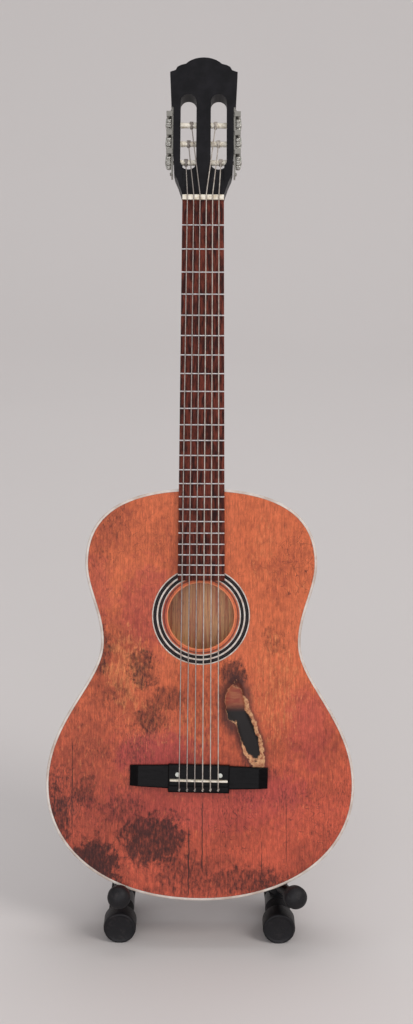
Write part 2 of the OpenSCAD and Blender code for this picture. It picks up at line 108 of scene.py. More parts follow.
# ---------------------------------------------------------------- curves
def bezier(ctrl: Array, t: Array) -> tuple[Array, Array]:
    """A cubic curve's points and its unit normals to the left of its run.

    The point is the Bernstein sum of the four control points, and the normal is the
    derivative turned a quarter to the left.
    """
    t = t[:, None]
    p = ((1 - t) ** 3 * ctrl[0] + 3 * (1 - t) ** 2 * t * ctrl[1]
         + 3 * (1 - t) * t ** 2 * ctrl[2] + t ** 3 * ctrl[3])
    d = ((1 - t) ** 2 * (ctrl[1] - ctrl[0]) + 2 * (1 - t) * t * (ctrl[2] - ctrl[1])
         + t ** 2 * (ctrl[3] - ctrl[2]))
    n = np.stack([-d[:, 1], d[:, 0]], 1)
    return p, n / np.linalg.norm(n, axis=1, keepdims=True)


def smooth_step(x: Array, low: float, high: float) -> Array:
    """0 below low, 1 above high and the cubic 3t^2 - 2t^3 between them."""
    t = np.clip((x - low) / (high - low), 0, 1)
    return t * t * (3 - 2 * t)


def arc(center: tuple[float, float], radius: float, start: float, end: float,
        count: int) -> Array:
    """Points of a circular arc in a plane, from start to end in degrees."""
    a = np.radians(np.linspace(start, end, count))
    return np.stack([center[0] + radius * np.cos(a), center[1] + radius * np.sin(a)], 1)


def round_box_section(w: float, lo: float, hi: float, r: float, n: int = 4) -> Array:
    """Closed outline of a box, w either side of zero and lo to hi, with corners of radius r."""
    corners = [((w - r, lo + r), -90), ((w - r, hi - r), 0), ((-w + r, hi - r), 90),
               ((-w + r, lo + r), 180)]
    return np.concatenate([arc(c, r, a, a + 90, n) for c, a in corners])


# ---------------------------------------------------------------- shapes
class Shape:
    """Surfaces gathered into one mesh, in millimetres in one placing."""

    def __init__(self) -> None:
        """An empty shape."""
        self.points: list[Array] = []
        self.quads: list[Array] = []
        self.total = 0

    def grid(self, p: Array, wrap_rows: bool = False, wrap_cols: bool = True) -> "Shape":
        """Adds a sheet of quads.

        Args:
            p: points of the sheet, rows by columns by 3.
            wrap_rows: the last row joins the first one.
            wrap_cols: the last column joins the first one.

        Returns:
            The shape itself.
        """
        rows, cols = p.shape[:2]
        i = np.arange(rows if wrap_rows else rows - 1)[:, None]
        j = np.arange(cols if wrap_cols else cols - 1)[None, :]
        i2, j2 = (i + 1) % rows, (j + 1) % cols
        quads = np.stack([i * cols + j, i * cols + j2, i2 * cols + j2, i2 * cols + j], -1)
        self.points.append(p.reshape(-1, 3))
        self.quads.append(quads.reshape(-1, 4) + self.total)
        self.total += rows * cols
        return self

    def loft(self, rings: Array) -> "Shape":
        """Adds a closed solid through rings of points, with both ends closed to a point."""
        first = np.repeat(rings[:1].mean(1, keepdims=True), rings.shape[1], 1)
        last = np.repeat(rings[-1:].mean(1, keepdims=True), rings.shape[1], 1)
        return self.grid(np.concatenate([first, rings, last]))

    def lathe(self, profile: Array, segments: int = 48) -> "Shape":
        """Adds a turned solid about Z from [radius, height] pairs, closed at both ends."""
        a = np.linspace(0, 2 * math.pi, segments, endpoint=False)
        profile = np.asarray(profile, float)
        r, z = profile[:, :1], profile[:, 1:]
        rings = np.stack([r * np.cos(a), r * np.sin(a), z + 0 * a], -1)
        return self.loft(rings)

    def tube(self, path: Array, radius: float, sides: int = 12) -> "Shape":
        """Adds a round bar carried along a path.

        The section's frame is carried from point to point by removing its part along
        the new tangent, so that it never twists.

        Args:
            path: points along the bar's axis.
            radius: radius of the bar.
            sides: corners of its round section.

        Returns:
            The shape itself.
        """
        path = np.asarray(path, float)
        t = np.gradient(path, axis=0)
        t /= np.linalg.norm(t, axis=1, keepdims=True)
        side = np.zeros_like(t)
        seed = np.array([1.0, 0, 0]) if abs(t[0][0]) < 0.9 else np.array([0, 1.0, 0])
        for k, tangent in enumerate(t):
            seed = seed - tangent * (seed @ tangent)
            seed = seed / np.linalg.norm(seed)
            side[k] = seed
        up = np.cross(t, side)
        a = np.linspace(0, 2 * math.pi, sides, endpoint=False)
        ring = np.stack([np.cos(a), np.sin(a)], 1)
        rings = (path[:, None] + radius
                 * (ring[None, :, :1] * side[:, None] + ring[None, :, 1:] * up[:, None]))
        return self.loft(rings)

    def add(self, other: "Shape") -> "Shape":
        """Takes in the surfaces of another shape."""
        self.points += other.points
        self.quads += [q + self.total for q in other.quads]
        self.total += other.total
        return self

    def moved(self, change: Callable[[Array], Array]) -> "Shape":
        """Every point passed through a function of the whole array."""
        self.points = [change(p) for p in self.points]
        return self

    def build(self, name: str, placing: Placing, sharp: float = 40) -> bpy.types.Object:
        """Makes the Blender object, with its place in its mesh.

        Args:
            name: the object's name.
            placing: frame that the points are in.
            sharp: edges sharper than this, in degrees, stay crisp.

        Returns:
            The new object, linked to the scene.
        """
        mesh = bpy.data.meshes.new(name)
        mesh.from_pydata(placing.world(np.concatenate(self.points)).tolist(), [],
                         np.concatenate(self.quads).tolist())
        obj = bpy.data.objects.new(name, mesh)
        bpy.context.scene.collection.objects.link(obj)
        close_mesh(mesh, sharp)
        return obj


def close_mesh(mesh: bpy.types.Mesh, sharp: float, merge: float = 2e-7) -> None:
    """Joins doubled points, drops empty faces, turns faces outward and sets the shading."""
    bm = bmesh.new()
    bm.from_mesh(mesh)
    bmesh.ops.remove_doubles(bm, verts=bm.verts, dist=merge)
    bmesh.ops.dissolve_degenerate(bm, edges=bm.edges, dist=merge / 2)
    bmesh.ops.recalc_face_normals(bm, faces=bm.faces)
    bm.to_mesh(mesh)
    bm.free()
    mesh.shade_smooth()
    mesh.set_sharp_from_angle(angle=math.radians(sharp))


def softened(node: str, name: str, width: float, segments: int = 2,
             sharp: float = 40) -> bpy.types.Object:
    """A copy of a CAD node with its edges rounded.

    Args:
        node: the CAD node to copy.
        name: the new object's name.
        width: width of the rounding, in millimetres.
        segments: steps of the rounding.
        sharp: least angle between faces that is rounded, in degrees.

    Returns:
        The new object.
    """
    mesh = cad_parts[node].data.copy()
    mesh.name = name
    mesh.materials.clear()
    obj = bpy.data.objects.new(name, mesh)
    bpy.context.scene.collection.objects.link(obj)
    bm = bmesh.new()
    bm.from_mesh(mesh)
    bmesh.ops.remove_doubles(bm, verts=bm.verts, dist=1e-6)
    bmesh.ops.dissolve_limit(bm, angle_limit=math.radians(1), verts=bm.verts,
                             edges=bm.edges)
    bm.to_mesh(mesh)
    bm.free()
    mesh.shade_smooth()
    mesh.set_sharp_from_angle(angle=math.radians(sharp))
    bevel = obj.modifiers.new("edges", "BEVEL")
    bevel.width = width * MM
    bevel.segments = segments
    bevel.limit_method = "ANGLE"
    bevel.angle_limit = math.radians(sharp)
    bevel.harden_normals = True
    return obj


def settle(obj: bpy.types.Object, material: bpy.types.Material, body: str, slot: str,
           *nodes: str) -> bpy.types.Object:
    """Dresses a piece and ties it to the frame.

    Args:
        obj: the piece.
        material: its finish.
        body: CAD body that it rides on.
        slot: material slot of the record; not used.
        nodes: CAD nodes that it stands for.

    Returns:
        The piece.
    """
    obj.data.materials.clear()
    obj.data.materials.append(material)
    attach(obj, body)
    if nodes:
        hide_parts(*nodes)
    LOG.info("%s: %d faces on %s", obj.name, len(obj.data.polygons), body)
    return obj


# ---------------------------------------------------------------- node graphs
def linear(color: Color) -> tuple[float, float, float, float]:
    """Screen colour, 0 to 255, to a linear shader colour."""
    part = [c / 255 for c in color]
    part = [c / 12.92 if c <= 0.04045 else ((c + 0.055) / 1.055) ** 2.4 for c in part]
    return (part[0], part[1], part[2], 1.0)


Socket = bpy.types.NodeSocket
Value = float | Socket


class Graph:
    """A material's node graph, written as calls that return sockets."""

    def __init__(self, name: str) -> None:
        """Starts a material with one Principled shader."""
        self.material = bpy.data.materials.new(name)
        self.material.use_nodes = True
        self.tree = self.material.node_tree
        self.shader = self.tree.nodes["Principled BSDF"]

    def node(self, kind: str, **settings: object) -> bpy.types.Node:
        """A new node with its settings."""
        node = self.tree.nodes.new(kind)
        for key, value in settings.items():
            setattr(node, key, value)
        return node

    def feed(self, socket: Socket, value: object) -> None:
        """Links a socket, or sets its constant."""
        if isinstance(value, bpy.types.NodeSocket):
            self.tree.links.new(value, socket)
        else:
            socket.default_value = value

    def calc(self, operation: str, a: Value, b: Value = 0.0) -> Socket:
        """A Math node."""
        node = self.node("ShaderNodeMath", operation=operation)
        for k, value in enumerate((a, b)):
            self.feed(node.inputs[k], value)
        return node.outputs[0]

    def plus(self, a: Value, b: Value) -> Socket:
        """a + b."""
        return self.calc("ADD", a, b)

    def minus(self, a: Value, b: Value) -> Socket:
        """a - b."""
        return self.calc("SUBTRACT", a, b)

    def times(self, a: Value, b: Value) -> Socket:
        """a * b."""
        return self.calc("MULTIPLY", a, b)

    def local(self, placing: Placing) -> Socket:
        """Object coordinates turned into a placing's own millimetres."""
        coord = self.node("ShaderNodeTexCoord")
        mapping = self.node("ShaderNodeMapping", vector_type="POINT")
        turn = Matrix(placing.axes.tolist())
        mapping.inputs["Scale"].default_value = (1 / MM,) * 3
        mapping.inputs["Rotation"].default_value = turn.to_euler()
        mapping.inputs["Location"].default_value = -(turn @ Vector(placing.origin)) / MM
        self.tree.links.new(coord.outputs["Object"], mapping.inputs["Vector"])
        return mapping.outputs[0]

    def split(self, vector: Socket) -> tuple[Socket, Socket, Socket]:
        """The three parts of a vector."""
        node = self.node("ShaderNodeSeparateXYZ")
        self.feed(node.inputs[0], vector)
        return node.outputs[0], node.outputs[1], node.outputs[2]

    def scaled(self, vector: Socket, by: tuple[float, float, float],
               shift: tuple[float, float, float] = (0, 0, 0)) -> Socket:
        """vector times by plus shift, part by part."""
        node = self.node("ShaderNodeVectorMath", operation="MULTIPLY_ADD")
        self.feed(node.inputs[0], vector)
        node.inputs[1].default_value = by
        node.inputs[2].default_value = shift
        return node.outputs[0]

    def noise(self, vector: Socket, scale: float, detail: float = 3, rough: float = 0.55,
              distortion: float = 0.0) -> Socket:
        """Noise of about 1 / scale in size."""
        node = self.node("ShaderNodeTexNoise")
        self.feed(node.inputs["Vector"], vector)
        node.inputs["Scale"].default_value = scale
        node.inputs["Detail"].default_value = detail
        node.inputs["Roughness"].default_value = rough
        node.inputs["Distortion"].default_value = distortion
        return node.outputs[0]

    def ramp(self, value: Value, low: float, high: float, out_low: float = 0.0,
             out_high: float = 1.0) -> Socket:
        """A smooth, clamped step of value from low to high."""
        node = self.node("ShaderNodeMapRange", interpolation_type="SMOOTHSTEP")
        for k, v in enumerate((value, low, high, out_low, out_high)):
            self.feed(node.inputs[k], v)
        return node.outputs[0]

    def mix(self, factor: Value, a: object, b: object, blend: str = "MIX") -> Socket:
        """A colour mix."""
        node = self.node("ShaderNodeMix", data_type="RGBA", blend_type=blend)
        self.feed(node.inputs[0], factor)
        self.feed(node.inputs[6], a)
        self.feed(node.inputs[7], b)
        return node.outputs[2]

    def tint(self, color: object, mask: Value, strength: float, tone: Color) -> Socket:
        """color turned towards a tone where the mask is, by at most strength."""
        return self.mix(self.times(mask, strength), color, linear(tone))

    def bump(self, height: Socket, strength: float, distance: float) -> Socket:
        """A bumped normal; distance is in millimetres."""
        node = self.node("ShaderNodeBump")
        node.inputs["Strength"].default_value = strength
        node.inputs["Distance"].default_value = distance * MM
        self.feed(node.inputs["Height"], height)
        return node.outputs[0]

    def spot(self, vector: Socket, center: tuple[float, float], size: tuple[float, float],
             ragged: Socket) -> Socket:
        """A soft oval mark on the face, with an edge broken up by noise.

        The oval distance from the mark's centre, plus 1.8 times the noise's deviation
        from one half, is stepped smoothly.
        """
        x, z = 1 / size[0], 1 / size[1]
        flat = self.scaled(vector, (x, 0, z), (-center[0] * x, 0, -center[1] * z))
        node = self.node("ShaderNodeVectorMath", operation="LENGTH")
        self.feed(node.inputs[0], flat)
        swing = self.times(self.minus(ragged, 0.5), 1.8)
        distance = self.plus(node.outputs["Value"], swing)
        return self.ramp(distance, 1.15, 0.45)

    def gray(self, value: Value) -> Socket:
        """A grey of that brightness."""
        node = self.node("ShaderNodeCombineColor")
        for k in range(3):
            self.feed(node.inputs[k], value)
        return node.outputs[0]

    def turned(self, vector: Socket, degrees: float) -> Socket:
        """A vector turned in the plane of the face."""
        node = self.node("ShaderNodeVectorRotate", rotation_type="Y_AXIS")
        self.feed(node.inputs["Vector"], vector)
        node.inputs["Angle"].default_value = math.radians(degrees)
        return node.outputs[0]

    def worn_distance(self, vector: Socket, center: tuple[float, float],
                      size: tuple[float, float], turn: float, ragged: Socket) -> Socket:
        """Distance from a leaning oval's centre, 1 on its rim, made ragged by noise."""
        shifted = self.scaled(vector, (1, 0, 1), (-center[0], 0, -center[1]))
        flat = self.scaled(self.turned(shifted, turn), (1 / size[0], 0, 1 / size[1]))
        node = self.node("ShaderNodeVectorMath", operation="LENGTH")
        self.feed(node.inputs[0], flat)
        swing = self.times(self.minus(ragged, 0.5), 0.95)
        return self.plus(node.outputs["Value"], swing)

    def finish(self, color: object, rough: Value, normal: Socket,
               metallic: float = 0.0, coat: float = 0.0, coat_rough: float = 0.1,
               specular: float = 0.5) -> bpy.types.Material:
        """Fills the shader in and returns the material."""
        s = self.shader.inputs
        self.feed(s["Base Color"], color)
        self.feed(s["Roughness"], rough)
        s["Metallic"].default_value = metallic
        s["Coat Weight"].default_value = coat
        s["Coat Roughness"].default_value = coat_rough
        s["Specular IOR Level"].default_value = specular
        self.feed(s["Normal"], normal)
        return self.material


# ---------------------------------------------------------------- finishes
@dataclass(frozen=True)
class Blotch:
    """A soft mark on the soundboard: centre, half size and strength."""

    x: float
    z: float
    half_x: float
    half_z: float
    strength: float


@dataclass(frozen=True)
class WornTop:
    """Orange lacquered spruce, dark with handling and scraped to pale wood."""

    orange: Color = (198, 99, 60)
    red: Color = (188, 81, 56)
    rust: Color = (132, 58, 44)
    pale: Color = (218, 133, 82)
    smoke: Color = (50, 26, 26)
    purple: Color = (156, 54, 58)
    raw: Color = (206, 156, 114)
    under: Color = (150, 86, 60)
    shadow: Color = (20, 13, 12)
    split: Color = (38, 20, 18)
    ring_dirt: Color = (70, 32, 30)
    # bare wood of the hole's cut edge, painted brighter than it is: part own colour, part
    # painted highlight
    cut_wood_and_highlight: Color = (222, 128, 86)
    dark_marks: tuple[Blotch, ...] = (
        Blotch(-29, 71, 6, 10, 0.8), Blotch(-16.5, 65, 5.5, 8, 0.85),
        Blotch(-10, 57, 8, 5, 0.75), Blotch(-25, 57, 8, 6, 0.6),
        Blotch(-14, 51, 7, 5, 0.8), Blotch(-32.5, 31, 5.5, 6, 0.75),
        Blotch(-30, 10, 11, 10, 1.0), Blotch(-40, 21, 5, 15, 0.85),
        Blotch(-13, 17, 13, 11, 0.95), Blotch(-4, 8, 13, 8, 0.75),
        Blotch(-22, 25, 10, 7, 0.65), Blotch(12, 6, 15, 6, 0.8),
        Blotch(1, 3, 22, 4, 0.65), Blotch(20.5, 74, 5, 5.5, 0.6),
        Blotch(9, 64, 6, 5, 0.85), Blotch(2, 52, 9, 14, 0.55),
        Blotch(16, 36.5, 14, 4, 0.55), Blotch(-9, 96, 5, 10, 0.35),
        Blotch(34, 30, 6, 10, 0.45), Blotch(-20, 42, 8, 6, 0.5),
        Blotch(30, 14, 9, 8, 0.45), Blotch(-35, 47, 4, 9, 0.4))
    red_marks: tuple[Blotch, ...] = (
        Blotch(-11, 41, 15, 8, 0.9), Blotch(17, 31, 16, 7, 0.75),
        Blotch(-15, 82, 9, 15, 0.6), Blotch(31, 49, 8, 14, 0.55),
        Blotch(0, 27, 34, 9, 0.5), Blotch(-30, 86, 6, 14, 0.45))
    pale_marks: tuple[Blotch, ...] = (
        Blotch(-21, 65, 9, 15, 0.66), Blotch(21, 60, 10, 24, 0.56),
        Blotch(17, 98, 6, 16, 0.5), Blotch(-15, 50, 12, 12, 0.52),
        Blotch(-1, 48, 8, 14, 0.56), Blotch(25, 84, 9, 14, 0.42),
        Blotch(-32, 40, 9, 16, 0.42))
    scribbles: tuple[Blotch, ...] = (
        Blotch(10, 21, 10, 9, 0.9), Blotch(31, 21, 9, 10, 0.8),
        Blotch(26, 95, 7, 14, 0.8), Blotch(-18, 104, 10, 9, 0.6),
        Blotch(-34, 22, 9, 12, 0.6), Blotch(24, 4, 14, 6, 0.8))

    def marks(self, g: Graph, p: Socket, ragged: Socket,
              spots: Sequence[Blotch]) -> Socket:
        """The strongest of several marks at each point."""
        total: Value = 0.0
        for spot in spots:
            mark = g.spot(p, (spot.x, spot.z), (spot.half_x, spot.half_z), ragged)
            total = g.calc("MAXIMUM", total, g.times(mark, spot.strength))
        return total

    def crack(self, g: Graph, p: Socket, x0: float, low: float, high: float,
              width: float) -> Socket:
        """A fine split along the grain, which wanders a little, from low to high."""
        x, _, z = g.split(p)
        wander = g.times(g.noise(g.scaled(p, (0, 0, 0.25)), 1, 3), 0.9)
        off = g.calc("ABSOLUTE", g.minus(g.minus(x, x0), wander))
        line = g.ramp(off, width, width * 0.3)
        ends = g.times(g.ramp(z, low, low + 2), g.ramp(z, high, high - 3))
        return g.times(line, ends)

    @staticmethod
    def brushed(g: Graph, p: Socket, mask: Value, size: tuple[float, float, float],
                low: float, high: float, seed: float = 0.0) -> Socket:
        """Strokes that thicken into a solid patch where the mask is strong.

        The noise plus 0.55 of the mask is stepped from low to high, so a weak mask
        lets only the noise's peaks through.
        """
        grit = g.noise(g.scaled(p, size, (seed, 0, seed)), 1, 6, 0.74)
        return g.ramp(g.plus(grit, g.times(mask, 0.55)), low, high)

    @staticmethod
    def strokes(g: Graph, p: Socket, scale: float, width: float) -> Socket:
        """Thin wandering scratches: where a smooth noise is within width of one half."""
        level = g.noise(p, scale, 2, 0.45, 0.8)
        off = g.calc("ABSOLUTE", g.minus(level, 0.5))
        return g.ramp(off, width, width * 0.4)

    def worn_patch(self, g: Graph, p: Socket, color: Socket, ragged: Socket,
                   dents: Sequence[Sequence[float]]) -> tuple[Socket, Socket]:
        """The patch worn through beside the strings.

        Returns:
            The colour with the patch, and its distance, which is below 1 inside it.
        """
        distance: Value = 9.0
        for center_x, center_z, half_x, half_z, turn in dents:
            one = g.worn_distance(p, (center_x, center_z), (half_x, half_z), turn, ragged)
            distance = g.calc("MINIMUM", distance, one)
        x, _, z = g.split(p)
        grime = g.ramp(g.noise(p, 0.9, 5, 0.75), 0.35, 0.6)
        color = g.mix(g.ramp(distance, 2.0, 1.1, 0, 0.85), color, linear(self.smoke))
        fringe = g.mix(grime, linear(self.under), linear(self.raw))
        lit = g.plus(g.noise(p, 0.16, 3, 0.5, 0.5), g.ramp(x, 9, 15, -0.12, 0.2))
        reach = g.ramp(lit, 0.42, 0.7, 0.94, 1.3)
        edge = g.ramp(g.minus(distance, reach), 0.03, -0.04)
        color = g.mix(edge, color, fringe)
        upper = g.ramp(z, 53, 56.5)
        wood = g.mix(g.ramp(g.noise(g.scaled(p, (0.3, 1, 1.6)), 1, 4), 0.35, 0.65),
                     linear(self.rust), linear(self.under))
        inside = g.mix(upper, linear(self.shadow), wood)
        color = g.mix(g.ramp(distance, 0.98, 0.86), color, inside)
        return color, distance

    def build(self, name: str, placing: Placing, hole: tuple[float, float],
              dents: Sequence[Sequence[float]]) -> bpy.types.Material:
        """The soundboard's material.

        Args:
            name: the material's name.
            placing: the guitar's frame.
            hole: height of the soundhole's centre, and its radius.
            dents: ovals of the worn patch.

        Returns:
            The material.
        """
        g = Graph(name)
        p = g.local(placing)
        x, _, z = g.split(p)
        grain = g.noise(g.scaled(p, (3.0, 1, 0.07)), 1, 4, 0.6)
        fine = g.noise(g.scaled(p, (4.5, 1, 0.3)), 1, 4, 0.65)
        ragged = g.noise(p, 0.3, 5, 0.7, 0.4)
        cloud = g.noise(p, 0.06, 3, 0.5)

        low = g.ramp(g.plus(z, g.times(cloud, 40)), 96, 40)
        color = g.mix(low, linear(self.orange), linear(self.red))
        heavy = g.plus(g.times(low, 0.25), g.ramp(x, 12, -36, 0, 0.26))
        rust = self.brushed(g, p, g.plus(heavy, g.ramp(cloud, 0.35, 0.7, 0, 0.6)),
                            (0.7, 1, 0.3), 0.6, 1.04)
        color = g.tint(color, rust, 0.7, self.rust)
        color = g.mix(g.times(self.marks(g, p, ragged, self.red_marks), 0.75),
                      color, linear(self.purple))
        pale = self.brushed(g, p, self.marks(g, p, ragged, self.pale_marks),
                            (1.5, 1, 0.3), 0.76, 0.98, 7)
        color = g.tint(color, pale, 0.7, self.pale)
        fleck = self.brushed(g, p, 0.0, (1.5, 1, 0.5), 0.56, 0.68, 3)
        color = g.tint(color, fleck, 0.4, self.pale)
        worn = self.marks(g, p, ragged, self.dark_marks)
        smoke = self.brushed(g, p, worn, (1.3, 1, 0.5), 0.7, 1.12, 11)
        color = g.tint(color, smoke, 0.93, self.smoke)
        where = g.plus(g.ramp(g.noise(p, 0.09, 3, 0.6), 0.3, 0.75, 0.1, 0.4),
                       g.times(heavy, 0.4))
        nick = self.brushed(g, p, where, (2.4, 1, 0.8), 0.7, 0.92, 19)
        color = g.tint(color, nick, 0.8, self.smoke)
        spread = self.marks(g, p, ragged, self.scribbles)
        lines = g.times(self.strokes(g, g.turned(p, 24), 0.24, 0.008), spread)
        thin = self.strokes(g, g.scaled(p, (1, 1, 0.7)), 0.13, 0.004)
        lines = g.calc("MAXIMUM", lines, g.times(thin, 0.35))
        color = g.tint(color, lines, 0.8, self.smoke)
        shade = g.plus(0.02, g.times(grain, 0.86))
        shade = g.plus(shade, g.times(fine, 1.1))
        mottle = g.noise(g.scaled(p, (0.9, 1, 0.4)), 1, 5, 0.75)
        shade = g.times(shade, g.ramp(mottle, 0.36, 0.62, 0.76, 1.1))
        color = g.mix(1.0, color, g.gray(shade), "MULTIPLY")
        for x0, bottom, top, width in ((0.2, 8, 29.5, 0.22), (-3.6, 0.5, 22, 0.26),
                                       (17, 6, 18, 0.12), (-36.5, 18, 46, 0.16),
                                       (-33, 4, 16, 0.12), (24, 10, 30, 0.1)):
            split_line = self.crack(g, p, x0, bottom, top, width)
            color = g.tint(color, split_line, 0.85, self.split)
        color, distance = self.worn_patch(g, p, color, ragged, dents)
        radius = g.node("ShaderNodeVectorMath", operation="LENGTH")
        g.feed(radius.inputs[0], g.scaled(p, (1, 0, 1), (0, 0, -hole[0])))
        span = radius.outputs["Value"]
        ring = g.times(g.ramp(span, hole[1] + 0.8, hole[1] + 0.95),
                      g.ramp(span, hole[1] + 1.35, hole[1] + 1.2))
        color = g.tint(color, ring, 0.8, self.ring_dirt)
        # the hole's cut edge: bare wood, painted brighter as a painted highlight where the edge
        # catches the light
        rim = g.ramp(span, hole[1] + 0.42, hole[1] + 0.2)
        color = g.mix(rim, color, linear(self.cut_wood_and_highlight))
        rough = g.ramp(g.plus(cloud, g.times(smoke, 0.3)), 0.2, 0.9,
                       0.36, 0.6)
        height = g.plus(g.times(grain, 0.5), g.times(nick, -0.6))
        height = g.minus(height, g.ramp(distance, 1.1, 0.8, 0, 3))
        return g.finish(color, rough, g.bump(height, 0.35, 0.06), coat=0.06,
                        coat_rough=0.35, specular=0.18)


@dataclass(frozen=True)
class Wood:
    """Timber with its grain along one axis of a placing."""

    light: Color
    dark: Color
    along: str = "z"
    fine: float = 2.4
    long: float = 0.09
    contrast: float = 1.0
    rough: float = 0.5
    coat: float = 0.08
    pores: float = 0.35
    specular: float = 0.25

    def build(self, name: str, placing: Placing) -> bpy.types.Material:
        """The material, with streaks stretched along the grain and short open pores."""
        g = Graph(name)
        p = g.local(placing)
        stretch = tuple(self.long if axis == self.along else self.fine for axis in "xyz")
        streak = g.noise(g.scaled(p, stretch), 1, 5, 0.62, 0.25)
        pore_size = tuple(s * 3.4 for s in stretch)
        pore = g.ramp(g.noise(g.scaled(p, pore_size), 1, 2, 0.5), 0.58, 0.7)
        half = 0.5 / max(self.contrast, 0.1)
        tone = g.ramp(streak, 0.5 - half * 0.5, 0.5 + half * 0.5)
        color = g.mix(tone, linear(self.dark), linear(self.light))
        color = g.tint(color, pore, self.pores, self.dark)
        patch = g.ramp(g.noise(p, 0.13, 3), 0.3, 0.75, 0.8, 1.08)
        color = g.mix(1.0, color, g.gray(patch), "MULTIPLY")
        height = g.minus(g.times(streak, 0.5), pore)
        rough = g.plus(self.rough - 0.05, g.times(streak, 0.12))
        return g.finish(color, rough, g.bump(height, 0.3, 0.04), coat=self.coat,
                        coat_rough=0.25, specular=self.specular)


@dataclass(frozen=True)
class Lacquer:
    """Smooth plastic, bone or lacquer with faint clouds, dust and wear."""

    base: Color
    tint: Color
    rough: float = 0.3
    coat: float = 0.3
    cloud: float = 0.25
    dust: float = 0.1
    wave: float = 0.12
    specular: float = 0.4

    def build(self, name: str, placing: Placing) -> bpy.types.Material:
        """The material."""
        g = Graph(name)
        p = g.local(placing)
        drift = g.noise(p, self.cloud, 4, 0.6)
        fleck = g.ramp(g.noise(p, 3.0, 3, 0.7), 0.6, 0.74)
        color = g.mix(g.ramp(drift, 0.35, 0.7), linear(self.base), linear(self.tint))
        color = g.tint(color, fleck, self.dust, self.tint)
        rough = g.plus(self.rough, g.times(fleck, 0.18))
        height = g.noise(p, 0.6, 3, 0.5)
        return g.finish(color, rough, g.bump(height, self.wave, 0.15), coat=self.coat,
                        coat_rough=0.12, specular=self.specular)


@dataclass(frozen=True)
class Metal:
    """Worn bright metal with fine brushing and darker tarnish."""

    bright: Color
    tarnish: Color
    rough: float = 0.32
    stain: float = 0.5

    def build(self, name: str, placing: Placing) -> bpy.types.Material:
        """The material."""
        g = Graph(name)
        p = g.local(placing)
        brush = g.noise(g.scaled(p, (14, 14, 0.8)), 1, 2, 0.5)
        spot = g.ramp(g.noise(p, 1.1, 5, 0.72), 0.45, 0.68)
        color = g.mix(g.times(spot, self.stain), linear(self.bright),
                      linear(self.tarnish))
        rough = g.plus(self.rough, g.times(spot, 0.25))
        return g.finish(color, rough, g.bump(brush, 0.15, 0.02), metallic=0.9)


@dataclass(frozen=True)
class Rubber:
    """Black rubber, foam or paint: pebbled, a little dusty, paler where it is worn."""

    base: Color
    dust: Color
    rough: float = 0.6
    pebble: float = 2.2
    depth: float = 0.12
    strength: float = 0.5
    coat: float = 0.0
    specular: float = 0.25

    def build(self, name: str, placing: Placing) -> bpy.types.Material:
        """The material: cellular pebbles under a drift of dust, with painted shade in the
        pebbles' hollows.
        """
        g = Graph(name)
        p = g.local(placing)
        cell = g.node("ShaderNodeTexVoronoi", feature="SMOOTH_F1")
        g.feed(cell.inputs["Vector"], p)
        cell.inputs["Scale"].default_value = self.pebble
        grain = g.noise(p, self.pebble * 1.7, 3, 0.6)
        drift = g.ramp(g.noise(p, 0.5, 4, 0.7), 0.5, 0.8, 0, 0.6)
        height = g.plus(cell.outputs["Distance"], g.times(grain, 0.6))
        color = g.mix(drift, linear(self.base), linear(self.dust))
        # the hollows between the pebbles are painted darker: painted shade
        color = g.mix(g.ramp(height, 0.9, 0.3, 0, 0.35), color, linear((8, 8, 9)))
        rough = g.plus(self.rough, g.times(drift, 0.25))
        return g.finish(color, rough, g.bump(height, self.strength, self.depth),
                        coat=self.coat, coat_rough=0.3, specular=self.specular)


